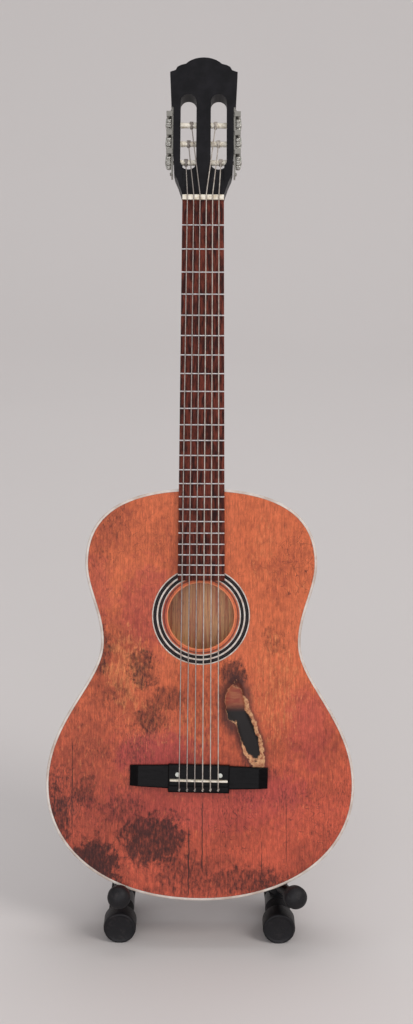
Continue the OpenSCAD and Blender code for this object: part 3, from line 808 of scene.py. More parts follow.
# ---------------------------------------------------------------- palette
class Finishes:
    """Every material of the model, made once."""

    def __init__(self, guitar: Placing, head: Placing, stand: Placing,
                 body: "GuitarBody") -> None:
        """Makes the materials.

        Args:
            guitar: the guitar's frame.
            head: the headstock's frame.
            stand: the stand's frame.
            body: sizes of the guitar's body.
        """
        self.top = WornTop().build("worn_spruce", guitar, body.hole, body.dents)
        self.ribs = Wood((150, 84, 58), (96, 48, 36)).build("rib_wood", guitar)
        self.back = self.two_faced("back_wood_painted_light_inside", guitar)
        self.inner = Wood((176, 122, 84), (132, 84, 56), rough=0.7,
                          coat=0.0).build("inner_wood", guitar)
        self.neck = Wood((134, 72, 52), (88, 42, 34)).build("neck_wood", guitar)
        self.board = Wood((112, 52, 40), (44, 19, 18), fine=1.5, long=0.25, pores=0.65,
                          coat=0.0, rough=0.6, contrast=1.7,
                          specular=0.12).build("rosewood", guitar)
        self.cream = Lacquer((206, 198, 190), (176, 158, 146), cloud=0.2,
                             dust=0.06).build("binding_cream", guitar)
        self.white = Lacquer((208, 200, 192), (176, 152, 138), cloud=0.5,
                             dust=0.15).build("rosette_white", guitar)
        self.ring_black = Lacquer((14, 12, 15), (40, 33, 35), rough=0.4, cloud=0.7,
                                  dust=0.2, coat=0.0,
                                  specular=0.15).build("rosette_black", guitar)
        self.head_black = Lacquer((17, 17, 20), (27, 26, 30), rough=0.42, coat=0.04,
                                  dust=0.3, specular=0.14).build("headstock_black", head)
        self.bridge_black = Wood((17, 14, 16), (8, 7, 8), along="x", coat=0.02,
                                 rough=0.24, pores=0.4,
                                 specular=0.06).build("bridge_black", guitar)
        self.bone = Lacquer((232, 226, 212), (196, 182, 158), rough=0.38, cloud=0.8,
                            dust=0.2).build("bone", guitar)
        self.drum = Lacquer((236, 230, 216), (190, 178, 156), rough=0.35, cloud=0.9,
                            dust=0.25).build("roller_bone", head)
        self.pearl = Lacquer((196, 198, 190), (146, 150, 140), rough=0.22, coat=0.7,
                             cloud=0.9, dust=0.1).build("pearl", head)
        self.fret = Metal((206, 204, 205), (136, 128, 124)).build("fret_metal", guitar)
        self.steel = Metal((170, 168, 162), (92, 88, 80)).build("tuner_metal", head)
        self.pin = Metal((150, 150, 154), (84, 82, 82), rough=0.4).build("pin_metal", stand)
        self.nylon = Lacquer((186, 178, 168), (150, 138, 128), rough=0.32, cloud=0.6,
                             dust=0.1).build("string_nylon", guitar)
        self.wound = Metal((166, 158, 152), (106, 94, 88), rough=0.42,
                           stain=0.35).build("string_wound", guitar)
        self.paint = Rubber((22, 22, 25), (54, 51, 51), rough=0.36, pebble=1.1, depth=0.03,
                            strength=0.25, coat=0.1).build("stand_paint", stand)
        self.foam = Rubber((26, 25, 28), (66, 62, 62), rough=0.82,
                           depth=0.2).build("sleeve_foam", stand)
        self.rubber = Rubber((24, 23, 26), (62, 57, 57), rough=0.5, pebble=3.2,
                             depth=0.08).build("cap_rubber", stand)

    def two_faced(self, name: str, placing: Placing) -> bpy.types.Material:
        """Dark lacquered wood behind; towards the inside of the body bare pale wood, painted
        brighter as painted light in the shaded body.
        """
        g = Graph(name)
        p = g.local(placing)
        x, y, _ = g.split(p)
        streak = g.noise(g.scaled(p, (1.6, 1, 0.06)), 1, 5, 0.62, 0.3)
        pore = g.ramp(g.noise(g.scaled(p, (6, 1, 0.5)), 1, 2), 0.58, 0.7)
        outside = g.mix(g.ramp(streak, 0.3, 0.7), linear((92, 44, 36)), linear((148, 80, 56)))
        # inside face: bare wood made brighter than bare wood, as painted light for the dark
        # inside of the body
        inside = g.mix(g.ramp(streak, 0.36, 0.64), linear((214, 112, 64)),
                       linear((255, 188, 122)))
        seam = g.ramp(g.calc("ABSOLUTE", x), 0.45, 0.3)
        outside = g.mix(g.times(seam, 0.8), outside, linear((226, 196, 160)))
        color = g.mix(g.ramp(y, 17.2, 17.0), outside, inside)
        color = g.tint(color, pore, 0.4, (64, 34, 28))
        height = g.minus(g.times(streak, 0.5), pore)
        return g.finish(color, 0.48, g.bump(height, 0.3, 0.04), coat=0.2, coat_rough=0.25)


# ---------------------------------------------------------------- guitar body
@dataclass(frozen=True)
class Outline:
    """Outline of the body: four curves from the tail to the neck, mirrored.

    Attributes:
        lower: half width and height of the lower bout.
        waist: half width and height of the waist.
        upper: half width and height of the upper bout.
        length: length of the body.
        steps: points on each curve.
    """

    lower: tuple[float, float] = (43.5, 32.6)
    waist: tuple[float, float] = (28.1, 72.8)
    upper: tuple[float, float] = (32.7, 95.1)
    length: float = 116.3
    steps: int = 40

    def curves(self) -> list[Array]:
        """Control points of the right half."""
        (lx, lz), (wx, wz), (ux, uz) = self.lower, self.waist, self.upper
        return [np.array(c, float) for c in (
            [[0, 0], [26.2, 0], [lx, lz - 19], [lx, lz]],
            [[lx, lz], [lx, lz + 18.6], [wx, wz - 11.2], [wx, wz]],
            [[wx, wz], [wx, wz + 8.6], [ux, uz - 7.4], [ux, uz]],
            [[ux, uz], [ux, uz + 12.2], [24.7, self.length], [0, self.length]])]

    def ring(self, inset: float) -> Array:
        """The closed outline moved inward by inset, as [x, z] pairs."""
        t = np.arange(self.steps) / self.steps
        half = []
        for ctrl in self.curves():
            p, n = bezier(ctrl, t)
            half.append(p + inset * n)
        right = np.concatenate(half)
        left = right[:0:-1] * [-1, 1]
        return np.concatenate([right, [[0, self.length - inset]], left])


def lifted(ring: Array, y: float) -> Array:
    """[x, z] pairs set at one depth as x, y, z points."""
    return np.stack([ring[:, 0], np.full(len(ring), y), ring[:, 1]], 1)


@dataclass(frozen=True)
class GuitarBody:
    """Soundboard, back, ribs, bindings and rosette.

    Attributes:
        outline: outline of the body.
        depth: depth of the body.
        plate: thickness of soundboard and back.
        rib: thickness of the ribs.
        binding: width of the binding.
        hole: height and radius of the soundhole.
        groove: radii of the rosette's groove.
        white: inner and outer radius of each white ring.
        black: the same of each black ring.
        dents: centre, half size and turn of each oval of the worn patch.
        dent_depth: how far the worn patch is pressed in.
        core_z: height of the middle that the back's rings shrink to.
    """

    outline: Outline = Outline()
    depth: float = 18.0
    plate: float = 1.2
    rib: float = 1.4
    binding: float = 0.75
    hole: tuple[float, float] = (80.3, 9.35)
    groove: tuple[float, float] = (10.9, 13.82)
    white: tuple[tuple[float, float], ...] = ((10.92, 11.24), (12.08, 12.54), (13.48, 13.8))
    black: tuple[tuple[float, float], ...] = ((11.26, 12.06), (12.56, 13.46))
    dents: tuple[tuple[float, ...], ...] = ((9.8, 55.5, 3.0, 6.0, 4.0),
                                            (13.2, 47.5, 2.5, 8.6, 20.0))
    dent_depth: float = 0.55
    core_z: float = 58.0

    def sunk(self, p: Array) -> Array:
        """The soundboard with its worn patch pressed in.

        Depth is a smooth step of the least oval distance, whose rim wanders by a few
        sines of the angle round the oval.
        """
        nearest = np.full(len(p), 9.0)
        for cx, cz, rx, rz, turn in self.dents:
            a = math.radians(turn)
            dx, dz = p[:, 0] - cx, p[:, 2] - cz
            u = (dx * math.cos(a) + dz * math.sin(a)) / rx
            v = (dz * math.cos(a) - dx * math.sin(a)) / rz
            angle = np.arctan2(v, u)
            wander = 0.08 * np.sin(3 * angle + 1) + 0.05 * np.sin(5 * angle)
            nearest = np.minimum(nearest, np.hypot(u, v) + wander)
        press = smooth_step(-nearest, -1.12, -0.8)
        front = smooth_step(-p[:, 1], -0.6, -0.2)
        return p + np.stack([0 * u, self.dent_depth * press * front, 0 * u], 1)

    def soundboard(self) -> Shape:
        """The top plate: rings from the hole's wall over the groove to the binding."""
        edge = self.outline.ring(self.binding + 0.02)
        hole_z, hole_r = self.hole
        offset = edge - [0, hole_z]
        length = np.linalg.norm(offset, axis=1, keepdims=True)
        unit = offset / length
        low, high = self.groove

        def circle(radius: float, y: float) -> Array:
            return lifted(unit * radius + [0, hole_z], y)

        rows = [circle(hole_r, self.plate), circle(hole_r, 0.12), circle(hole_r + 0.04, 0.03),
                circle(hole_r + 0.14, 0), circle(low, 0), circle(low, 0.4),
                circle(high, 0.4), circle(high, 0)]
        rows += [lifted(unit * (high + (length - high) * t) + [0, hole_z], 0)
                 for t in np.linspace(0, 1, 56)[1:]]
        rows.append(lifted(edge, self.plate))
        return Shape().grid(np.stack(rows), wrap_rows=True).moved(self.sunk)

    def back(self) -> Shape:
        """The back plate: a flat slab inside the binding, in rings about its middle."""
        edge = self.outline.ring(self.binding + 0.02)
        core = np.array([0, self.core_z])
        rows = []
        for y, way in ((self.depth - self.plate, 1), (self.depth, -1)):
            scales = np.linspace(0.02, 1, 24)[::way]
            rows += [lifted(core + (edge - core) * s, y) for s in scales]
        return Shape().loft(np.stack(rows))

    def band(self, section: Sequence[tuple[float, float]]) -> Shape:
        """A closed strip round the body from a section of inset and depth pairs."""
        rows = np.stack([lifted(self.outline.ring(d), y) for d, y in section])
        return Shape().grid(rows, wrap_rows=True)

    def binding_band(self, face: float, way: int) -> Shape:
        """Binding with a rounded outer corner, at the face depth, running inward by way."""
        r = 0.32
        corner = [(r - r * math.cos(a), face + way * (r - r * math.sin(a)))
                  for a in np.radians([0, 22.5, 45, 67.5, 90])]
        inner = self.binding
        return self.band([(0, face + way * self.plate)] + corner
                         + [(inner - 0.06, face), (inner, face + way * 0.06),
                            (inner, face + way * self.plate)])

    def rings(self, radii: Sequence[tuple[float, float]]) -> Shape:
        """Flat rings with eased edges, inlaid round the hole."""
        shape = Shape()
        a = np.linspace(0, 2 * math.pi, 144, endpoint=False)
        for r0, r1 in radii:
            section = [(r0, 0.38), (r0, 0.04), (r0 + 0.05, 0), (r1 - 0.05, 0), (r1, 0.04),
                       (r1, 0.38)]
            rows = [np.stack([r * np.cos(a), np.full(len(a), y),
                              self.hole[0] + r * np.sin(a)], 1) for r, y in section]
            shape.grid(np.stack(rows), wrap_rows=True)
        return shape

    def build(self, place: Placing, f: Finishes) -> None:
        """Makes the pieces and ties them to the guitar."""
        ride = "guitar"
        low, high = self.plate, self.depth - self.plate
        settle(self.soundboard().build("soundboard_top", place), f.top, ride, "top_wood",
               "soundboard")
        settle(self.back().build("back", place), f.back, ride, "rib_wood", "back_plate")
        ribs = self.band([(0.04, low), (0.04, high), (self.rib, high), (self.rib, low)])
        settle(ribs.build("ribs", place), f.ribs, ride, "rib_wood", "body_sides")
        settle(self.binding_band(0, 1).build("binding_top", place), f.cream, ride,
               "binding_cream", "binding_front")
        settle(self.binding_band(self.depth, -1).build("binding_rear", place), f.cream, ride,
               "binding_cream", "binding_back")
        settle(self.rings(self.white).build("rosette_white", place), f.white, ride,
               "binding_cream", "rosette_white_rings")
        settle(self.rings(self.black).build("rosette_black", place), f.ring_black, ride,
               "rosette_black", "rosette_black_rings")
        for node in ("linings", "neck_block", "tail_block"):
            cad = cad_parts[node]
            cad.data.materials.clear()
            cad.data.materials.append(f.inner)


# ---------------------------------------------------------------- neck
@dataclass(frozen=True)
class Neck:
    """Neck, fingerboard, frets and nut.

    Attributes:
        foot: height of the heel's foot.
        end: height of the fingerboard's end by the soundhole.
        nut: height of the nut's front edge.
        half: half width of the board at its end and at the nut.
        board: thickness of the fingerboard.
        depth: depth of the neck behind the board.
        heel: depth of the heel at its foot, and its height.
        scale: open string length, and the number of frets.
        string_gap: gap from string to string at the nut.
        head_y: depth of the headstock's face at the nut.
        head_tilt: tilt of the headstock, in degrees.
    """

    foot: float = 116.32
    end: float = 90.3
    nut: float = 197.3
    half: tuple[float, float] = (6.6, 5.85)
    board: float = 1.6
    depth: float = 4.6
    heel: tuple[float, float] = (17.0, 13.0)
    scale: tuple[float, int] = (168.0, 23)
    string_gap: float = 1.77
    head_y: float = -0.4
    head_tilt: float = 15.0

    def half_at(self, z: Array) -> Array:
        """Half width of the board: a straight taper from its end to the nut."""
        t = (z - self.end) / (self.nut - self.end)
        return self.half[0] + (self.half[1] - self.half[0]) * t

    def stick(self) -> Shape:
        """The neck: half ovals whose depth falls with the square of the height in the heel."""
        top = self.nut + 1.58
        a = np.radians(np.linspace(0, 180, 33))
        x_in = np.linspace(-0.92, 0.92, 9)
        levels = np.concatenate([self.foot + self.heel[1] * np.linspace(0, 1, 18),
                                 np.linspace(self.foot + self.heel[1] + 2, top, 12)])
        rings = []
        for z in levels:
            u = min(max((z - self.foot) / self.heel[1], 0), 1)
            deep = self.depth + (self.heel[0] - self.depth) * (1 - u) ** 2
            half = self.half_at(z)
            curve = np.stack([half * np.cos(a), deep * np.sin(a) ** 0.9, 0 * a + z], 1)
            flat = np.stack([half * x_in, 0 * x_in, 0 * x_in + z], 1)
            rings.append(np.concatenate([curve, flat]))
        last = rings[-1]
        last[:, 2] = top - (last[:, 1] - self.head_y) * math.tan(math.radians(self.head_tilt))
        return Shape().loft(np.stack(rings))

    def fingerboard(self) -> Shape:
        """A slab with eased edges."""
        rings = []
        for z in np.concatenate([[self.end], np.linspace(self.end + 0.12, self.nut - 0.1, 120),
                                 [self.nut]]):
            half = self.half_at(z)
            eased = 0.1 if z in (self.end, self.nut) else 0.0
            section = round_box_section(half - eased, -self.board + eased, -0.02, 0.16)
            rings.append(np.insert(section, 2, z, axis=1))
        return Shape().loft(np.stack(rings))

    def frets(self) -> Shape:
        """Crowned wires across the board; each one is 0.042 of the rest nearer."""
        shape = Shape()
        length, count = self.scale
        crown = np.radians(np.linspace(180, 0, 9))
        for n in range(1, count + 1):
            z = self.nut - length * (1 - 0.958 ** n)
            if z < self.end + 0.4:
                continue
            half = float(self.half_at(z))
            rings = []
            for x, size in ((-1, 0.55), (-0.992, 0.9), (-0.97, 1), (0.97, 1), (0.992, 0.9),
                            (1, 0.55)):
                y = -self.board + 0.05 - (0.30 * size) * np.sin(crown)
                ring = np.stack([0 * crown + x * half, y, z + 0.21 * np.cos(crown)], 1)
                rings.append(ring)
            shape.loft(np.stack(rings))
        return shape

    def nut_block(self) -> Shape:
        """The nut, with a groove under each string.

        Its top falls by a smooth step within 0.3 mm of each string.
        """
        xs = np.linspace(-self.half[1], self.half[1], 157)
        strings = (np.arange(1, 7) - 3.5) * self.string_gap
        near = np.abs(xs[:, None] - strings).min(1)
        tops = -2.08 - 0.13 * smooth_step(near, 0.14, 0.36)
        tops = tops + 0.12 * smooth_step(np.abs(xs), self.half[1] - 0.25, self.half[1])
        rings = []
        for x, top in zip(xs, tops):
            section = round_box_section(0.73, top, -0.02, 0.2)
            rings.append(np.stack([0 * section[:, 0] + x, section[:, 1],
                                   section[:, 0] + self.nut + 0.75], 1))
        return Shape().loft(np.stack(rings))

    def build(self, place: Placing, f: Finishes) -> None:
        """Makes the pieces and ties them to the guitar."""
        ride = "guitar"
        settle(self.stick().build("neck_wood", place), f.neck, ride, "rib_wood", "neck")
        settle(self.fingerboard().build("board", place), f.board, ride, "rosewood",
               "fingerboard")
        settle(self.frets().build("fret_wires", place), f.fret, ride, "fret_metal", "frets")
        settle(self.nut_block().build("nut_bone", place), f.bone, ride, "bone", "nut")


# ---------------------------------------------------------------- bridge and strings
def eased(points: Sequence[Sequence[float]], reach: float, count: int = 6) -> Array:
    """A polyline whose corners are replaced by short quadratic curves."""
    p = [np.array(q, float) for q in points]
    out = [p[0]]
    for before, here, after in zip(p, p[1:], p[2:]):
        a = here + (before - here) * min(0.5, reach / np.linalg.norm(before - here))
        b = here + (after - here) * min(0.5, reach / np.linalg.norm(after - here))
        for t in np.linspace(0, 1, count):
            out.append((1 - t) ** 2 * a + 2 * t * (1 - t) * here + t ** 2 * b)
    return np.array(out + [p[-1]])


@dataclass(frozen=True)
class Bridge:
    """Bridge with its tie block, saddle and two dots, in the bridge's frame.

    Attributes:
        block: half width and height of the centre block.
        wing: half width and height of the wings.
        slope: length and lowest height of the slope that ends each wing.
        channel: lower and upper edge, and floor, of the groove before the saddle.
        block_z: lower and upper edge of the block.
        wing_z: the same of a wing beside the block.
        saddle_half: half length of the saddle.
        crown_y: top of the saddle.
        dot_x: distance of each dot from the middle.
        dot_z: height of the dots.
        dot_r: radius of a dot.
    """

    block: tuple[float, float] = (8.6, 2.2)
    wing: tuple[float, float] = (19.4, 1.5)
    slope: tuple[float, float] = (2.4, 0.55)
    channel: tuple[float, float, float] = (-1.7, 0.44, 1.3)
    block_z: tuple[float, float] = (-3.4, 4.5)
    wing_z: tuple[float, float] = (-2.4, 4.2)
    saddle_half: float = 8.1
    crown_y: float = -3.23
    dot_x: float = 6.0
    dot_z: float = 1.6
    dot_r: float = 0.7

    def section(self, x: float, height: float, floor: float, low: float,
                high: float) -> Array:
        """One cut across the bridge: eased outer corners, and the groove to its floor."""
        c0, c1, _ = self.channel
        r = min(0.3, height * 0.4)
        top = arc((low + r, -height + r), r, 180, 270, 5)
        end = arc((high - r, -height + r), r, 270, 360, 5)
        flat = np.array([[c0, -height], [c0 + 0.08, -floor], [c1, -floor], [c1, -height]])
        ring = np.concatenate([[[low, -0.02]], top, flat, end, [[high, -0.02]]])
        return np.stack([0 * ring[:, 0] + x, ring[:, 1], ring[:, 0]], 1)

    def wood(self) -> Shape:
        """Wings that slope away at their ends, and the block with its groove."""
        half, block_h = self.block
        reach, wing_h = self.wing
        run, lowest = self.slope
        rings = []
        for x in np.linspace(half, reach, 40)[::-1]:
            t = (x - half) / (reach - half)
            fall = max(0.0, (x - reach + run) / run)
            h = wing_h - (wing_h - lowest) * fall
            rings.append(self.section(x, h, h, self.wing_z[0] + 0.4 * t,
                                      self.wing_z[1] - 0.3 * t))
        groove = self.channel[2]
        low, high = self.block_z
        for x, h, floor in ((half, block_h - 0.25, block_h - 0.25),
                            (half - 0.1, block_h - 0.08, block_h - 0.08),
                            (half - 0.25, block_h, block_h), (half - 0.35, block_h, block_h),
                            (half - 0.4, block_h, groove)):
            rings.append(self.section(x, h, floor, low, high))
        mirrored = [ring * [-1, 1, 1] for ring in rings[::-1]]
        return Shape().loft(np.stack(rings + mirrored))

    def saddle(self) -> Shape:
        """A bone blade with a round crown and eased ends."""
        rings = []
        for x in np.linspace(-1, 1, 41):
            end = 1 - 0.12 * smooth_step(np.array(abs(x)), 0.96, 1.0)
            crown = arc((0, self.crown_y + 0.27), 0.27, 180, 360, 9) * [end, 1]
            z = np.concatenate([[0.42 * end], [-0.42 * end], [-0.42 * end], crown[:, 0],
                                [0.42 * end]])
            y = np.concatenate([[-1.22, -1.22, -1.9], crown[:, 1] + (1 - end), [-1.9]])
            rings.append(np.stack([0 * z + x * self.saddle_half, y, z], 1))
        return Shape().loft(np.stack(rings))

    def dots(self) -> Shape:
        """Two inlaid discs, very slightly domed."""
        shape = Shape()
        profile = [(self.dot_r, 1.75), (self.dot_r, 2.17), (self.dot_r - 0.06, 2.2),
                   (0.35, 2.24), (0.0, 2.25)]
        for x in (-self.dot_x, self.dot_x):
            disc = Shape().lathe(profile, 28)
            shape.add(disc.moved(lambda p, x=x: np.stack(
                [p[:, 0] + x, -p[:, 2], p[:, 1] + self.dot_z], 1)))
        return shape

    def build(self, place: Placing, f: Finishes) -> None:
        """Makes the pieces and ties them to the guitar."""
        settle(self.wood().build("bridge_wood", place), f.bridge_black, "guitar",
               "bridge_black", "bridge")
        settle(self.saddle().build("saddle_bone", place), f.bone, "guitar", "bone", "saddle")
        settle(self.dots().build("dots", place), f.pearl, "guitar", "pearl", "bridge_dots")


@dataclass(frozen=True)
class TunerPlace:
    """Where a tuner sits, in the headstock's frame.

    Attributes:
        number: the tuner's number, up the left side and then down the right one.
        first: height of the lowest roller.
        gap: distance from roller to roller.
    """

    number: int
    first: float = 10.9
    gap: float = 5.8

    @property
    def side(self) -> Side:
        """Side of the headstock."""
        return Side.LEFT if self.number <= 3 else Side.RIGHT

    @property
    def row(self) -> int:
        """Place from the nut up."""
        return self.number - 1 if self.number <= 3 else 6 - self.number

    @property
    def height(self) -> float:
        """Height of the roller."""
        return self.first + self.gap * self.row

    @property
    def target(self) -> float:
        """Distance from the middle at which the string meets its roller."""
        return (5.0, 4.3, 3.5)[self.row]


@dataclass(frozen=True)
class GuitarString:
    """One string, from its knot on the tie block to its roller.

    Attributes:
        tuner: the tuner that holds it.
        radius: radius of the string.
        nut: gap from string to string, depth and height where it crosses the nut.
        saddle: the same where it crosses the saddle.
    """

    tuner: TunerPlace
    radius: float = 0.15
    nut: tuple[float, float, float] = (1.77, -2.25, 198.8)
    saddle: tuple[float, float, float] = (2.19, -3.4, 33.5)

    def run(self, guitar: Placing, head: Placing) -> Shape:
        """The stretched string with its loop at the tie block."""
        k = self.tuner.number - 3.5
        x = k * self.saddle[0] - 0.4
        z = self.saddle[2]
        tie_y = -2.37
        drum = head.world(np.array([self.tuner.side.value * self.tuner.target,
                                    ROLLER_Y - 1.03, self.tuner.height]))
        drum_here = ((drum - guitar.origin) @ guitar.axes.T) / MM
        path = eased([(x, tie_y, z - 2.4), (x, tie_y, z - 1.4), (x, self.saddle[1], z),
                      (k * self.nut[0], self.nut[1], self.nut[2]), drum_here], 0.5)
        shape = Shape().tube(path, self.radius, 10)
        # the end comes back over the string and is tucked under its own loop
        a = np.linspace(0.15 * math.pi, 1.9 * math.pi, 22)
        loop = np.stack([x + 0.27 * np.cos(a), tie_y - 0.1 + 0.2 * np.sin(a),
                         z - 2.1 + 0.32 * np.cos(a) * 0.4 + a * 0.06], 1)
        return shape.tube(loop, self.radius * 0.85, 8)

    def windings(self) -> Shape:
        """Turns of string round the roller: a close helix about the roller's axis."""
        a = np.linspace(0, 2 * math.pi * 3.4, 110)
        r = 0.85 + self.radius + 0.01
        x = self.tuner.target + 0.36 - a / (2 * math.pi) * 0.26
        path = np.stack([self.tuner.side.value * x, ROLLER_Y - r * np.cos(a),
                         self.tuner.height + r * np.sin(a)], 1)
        return Shape().tube(path, self.radius * 0.92, 8)

    def build(self, guitar: Placing, head: Placing, f: Finishes) -> None:
        """Makes the string and its windings."""
        n = self.tuner.number
        finish = f.wound if n <= 3 else f.nylon
        settle(self.run(guitar, head).build(f"string_{n}_run", guitar), finish, "guitar",
               "string_nylon", f"string_{n}")
        settle(self.windings().build(f"winding_{n}", head), finish, f"tuner_{n}_roller",
               "string_nylon")


# ---------------------------------------------------------------- tuners
@dataclass(frozen=True)
class Tuner:
    """Roller with its gear, and button with its worm.

    Attributes:
        place: where the tuner sits.
        gear_x: inner and outer face of the gear.
        gear_r: radius at the foot and at the tip of a tooth.
        teeth: number of teeth.
        worm_up: height of the worm's axis above the roller's.
        worm_r: radius of the worm.
    """

    place: TunerPlace
    gear_x: tuple[float, float] = (9.3, 10.4)
    gear_r: tuple[float, float] = (1.62, 1.95)
    teeth: int = 14
    worm_up: float = 2.7
    worm_r: float = 0.7

    def across(self, shape: Shape, x0: float) -> Shape:
        """A lathe shape laid along X outward from x0, at the roller's axis."""
        s, h = self.place.side.value, self.place.height
        return shape.moved(lambda p: np.stack([s * (p[:, 2] + x0), p[:, 0] + ROLLER_Y,
                                               p[:, 1] + h], 1))

    def drum(self) -> Shape:
        """The bone roller, with a shallow waist where the string winds."""
        profile = [(0.7, 1.1), (0.85, 1.25), (0.85, 2.4), (0.8, 2.7), (0.8, 5.6),
                   (0.85, 5.9), (0.85, 8.4), (0.5, 8.45), (0.5, 9.28)]
        return self.across(Shape().lathe(profile, 28), 0)

    def gear(self) -> Shape:
        """The toothed wheel and the screw that holds it."""
        count = 6 * self.teeth
        a = np.linspace(0, 2 * math.pi, count, endpoint=False)
        tooth = np.tile([0.0, 0.75, 1.0, 1.0, 0.75, 0.0], self.teeth)
        r0, r1 = self.gear_r
        rings = []
        for x, trim in ((self.gear_x[0], 0.1), (self.gear_x[0] + 0.1, 0.0),
                        (self.gear_x[1] - 0.1, 0.0), (self.gear_x[1], 0.1)):
            r = r0 + (r1 - r0) * tooth - trim
            rings.append(np.stack([r * np.cos(a), r * np.sin(a), 0 * a + x], 1))
        shape = Shape().loft(np.stack(rings))
        shape.lathe([(0.7, 10.38), (0.7, 10.6), (0.6, 10.78), (0.3, 10.88)], 24)
        return self.across(shape, 0)

    def button(self) -> Shape:
        """An oval paddle: rings of a superellipse that shrink to each face.

        The shrink is (1 - u^2.6)^(1/2.6) for u from -1 to 1 across the thickness.
        """
        a = np.linspace(0, 2 * math.pi, 48, endpoint=False)
        rim = [np.sign(w) * np.abs(w) ** 0.82 for w in (np.cos(a), np.sin(a))]
        rings = []
        for u in np.sin(np.linspace(-1, 1, 15) * math.pi / 2 * 0.98):
            s = (1 - abs(u) ** 2.6) ** (1 / 2.6)
            rings.append(np.stack([0 * a + 1.15 * u, 7.4 + 1.95 * s * rim[0],
                                   2.45 * s * rim[1]], 1))
        return self.upright(Shape().loft(np.stack(rings)))

    def worm(self) -> Shape:
        """Shaft with a screw thread: its radius follows the angle less the height's phase."""
        a = np.linspace(0, 2 * math.pi, 24, endpoint=False)
        y = np.linspace(0.95, 3.85, 46)
        phase = a[None] - 2 * math.pi * y[:, None] / 0.78
        r = self.worm_r - 0.16 * (0.5 + 0.5 * np.cos(phase))
        rings = np.stack([r * np.cos(a), np.broadcast_to(y[:, None], r.shape),
                          r * np.sin(a)], -1)
        shape = Shape().loft(rings)
        shaft = np.stack([0 * y, np.linspace(0.5, 6.2, len(y)), 0 * y], 1)
        return self.upright(shape.tube(shaft, 0.38, 20))

    def upright(self, shape: Shape) -> Shape:
        """A shape moved to the worm's axis."""
        x = self.place.side.value * sum(self.gear_x) / 2
        return shape.moved(lambda p: p + [x, 0, self.place.height + self.worm_up])

    def build(self, head: Placing, f: Finishes) -> None:
        """Makes the four pieces of the tuner."""
        n = self.place.number
        roller, button = f"tuner_{n}_roller", f"tuner_{n}_button"
        settle(self.drum().build(f"roller_{n}_drum", head), f.drum, roller, "bone",
               f"roller_{n}")
        settle(self.gear().build(f"roller_{n}_gear", head), f.steel, roller, "tuner_metal")
        settle(self.button().build(f"button_{n}_paddle", head), f.pearl, button, "pearl",
               f"button_{n}")
        settle(self.worm().build(f"button_{n}_worm", head), f.steel, button, "tuner_metal")


@dataclass(frozen=True)
class Headstock:
    """Headstock with its two plates and four screws.

    Attributes:
        plate_out: distance from the middle to a plate's outer face.
        screw_h: heights of the screws.
    """

    plate_out: float = 9.12
    screw_h: tuple[float, float] = (7.35, 26.9)

    def screws(self) -> Shape:
        """Domed screw heads on the outer faces of the plates."""
        shape = Shape()
        for side in Side:
            for h in self.screw_h:
                head = Shape().lathe([(0.5, 0), (0.55, 0.12), (0.42, 0.3), (0.2, 0.39)], 20)
                shape.add(head.moved(lambda p, s=side.value, h=h: np.stack(
                    [s * (p[:, 2] + self.plate_out), p[:, 0] + ROLLER_Y, p[:, 1] + h], 1)))
        return shape

    def build(self, head: Placing, f: Finishes) -> None:
        """Makes the pieces and ties them to the guitar."""
        settle(softened("headstock", "headstock_wood", 0.25, 3), f.head_black, "guitar",
               "headstock_black", "headstock")
        for side in Side:
            settle(softened(f"tuner_plate_{side.word}", f"plate_{side.word}", 0.07),
                   f.steel, "guitar", "tuner_metal", f"tuner_plate_{side.word}")
        settle(self.screws().build("screws", head), f.steel, "guitar", "tuner_metal",
               "plate_screws")


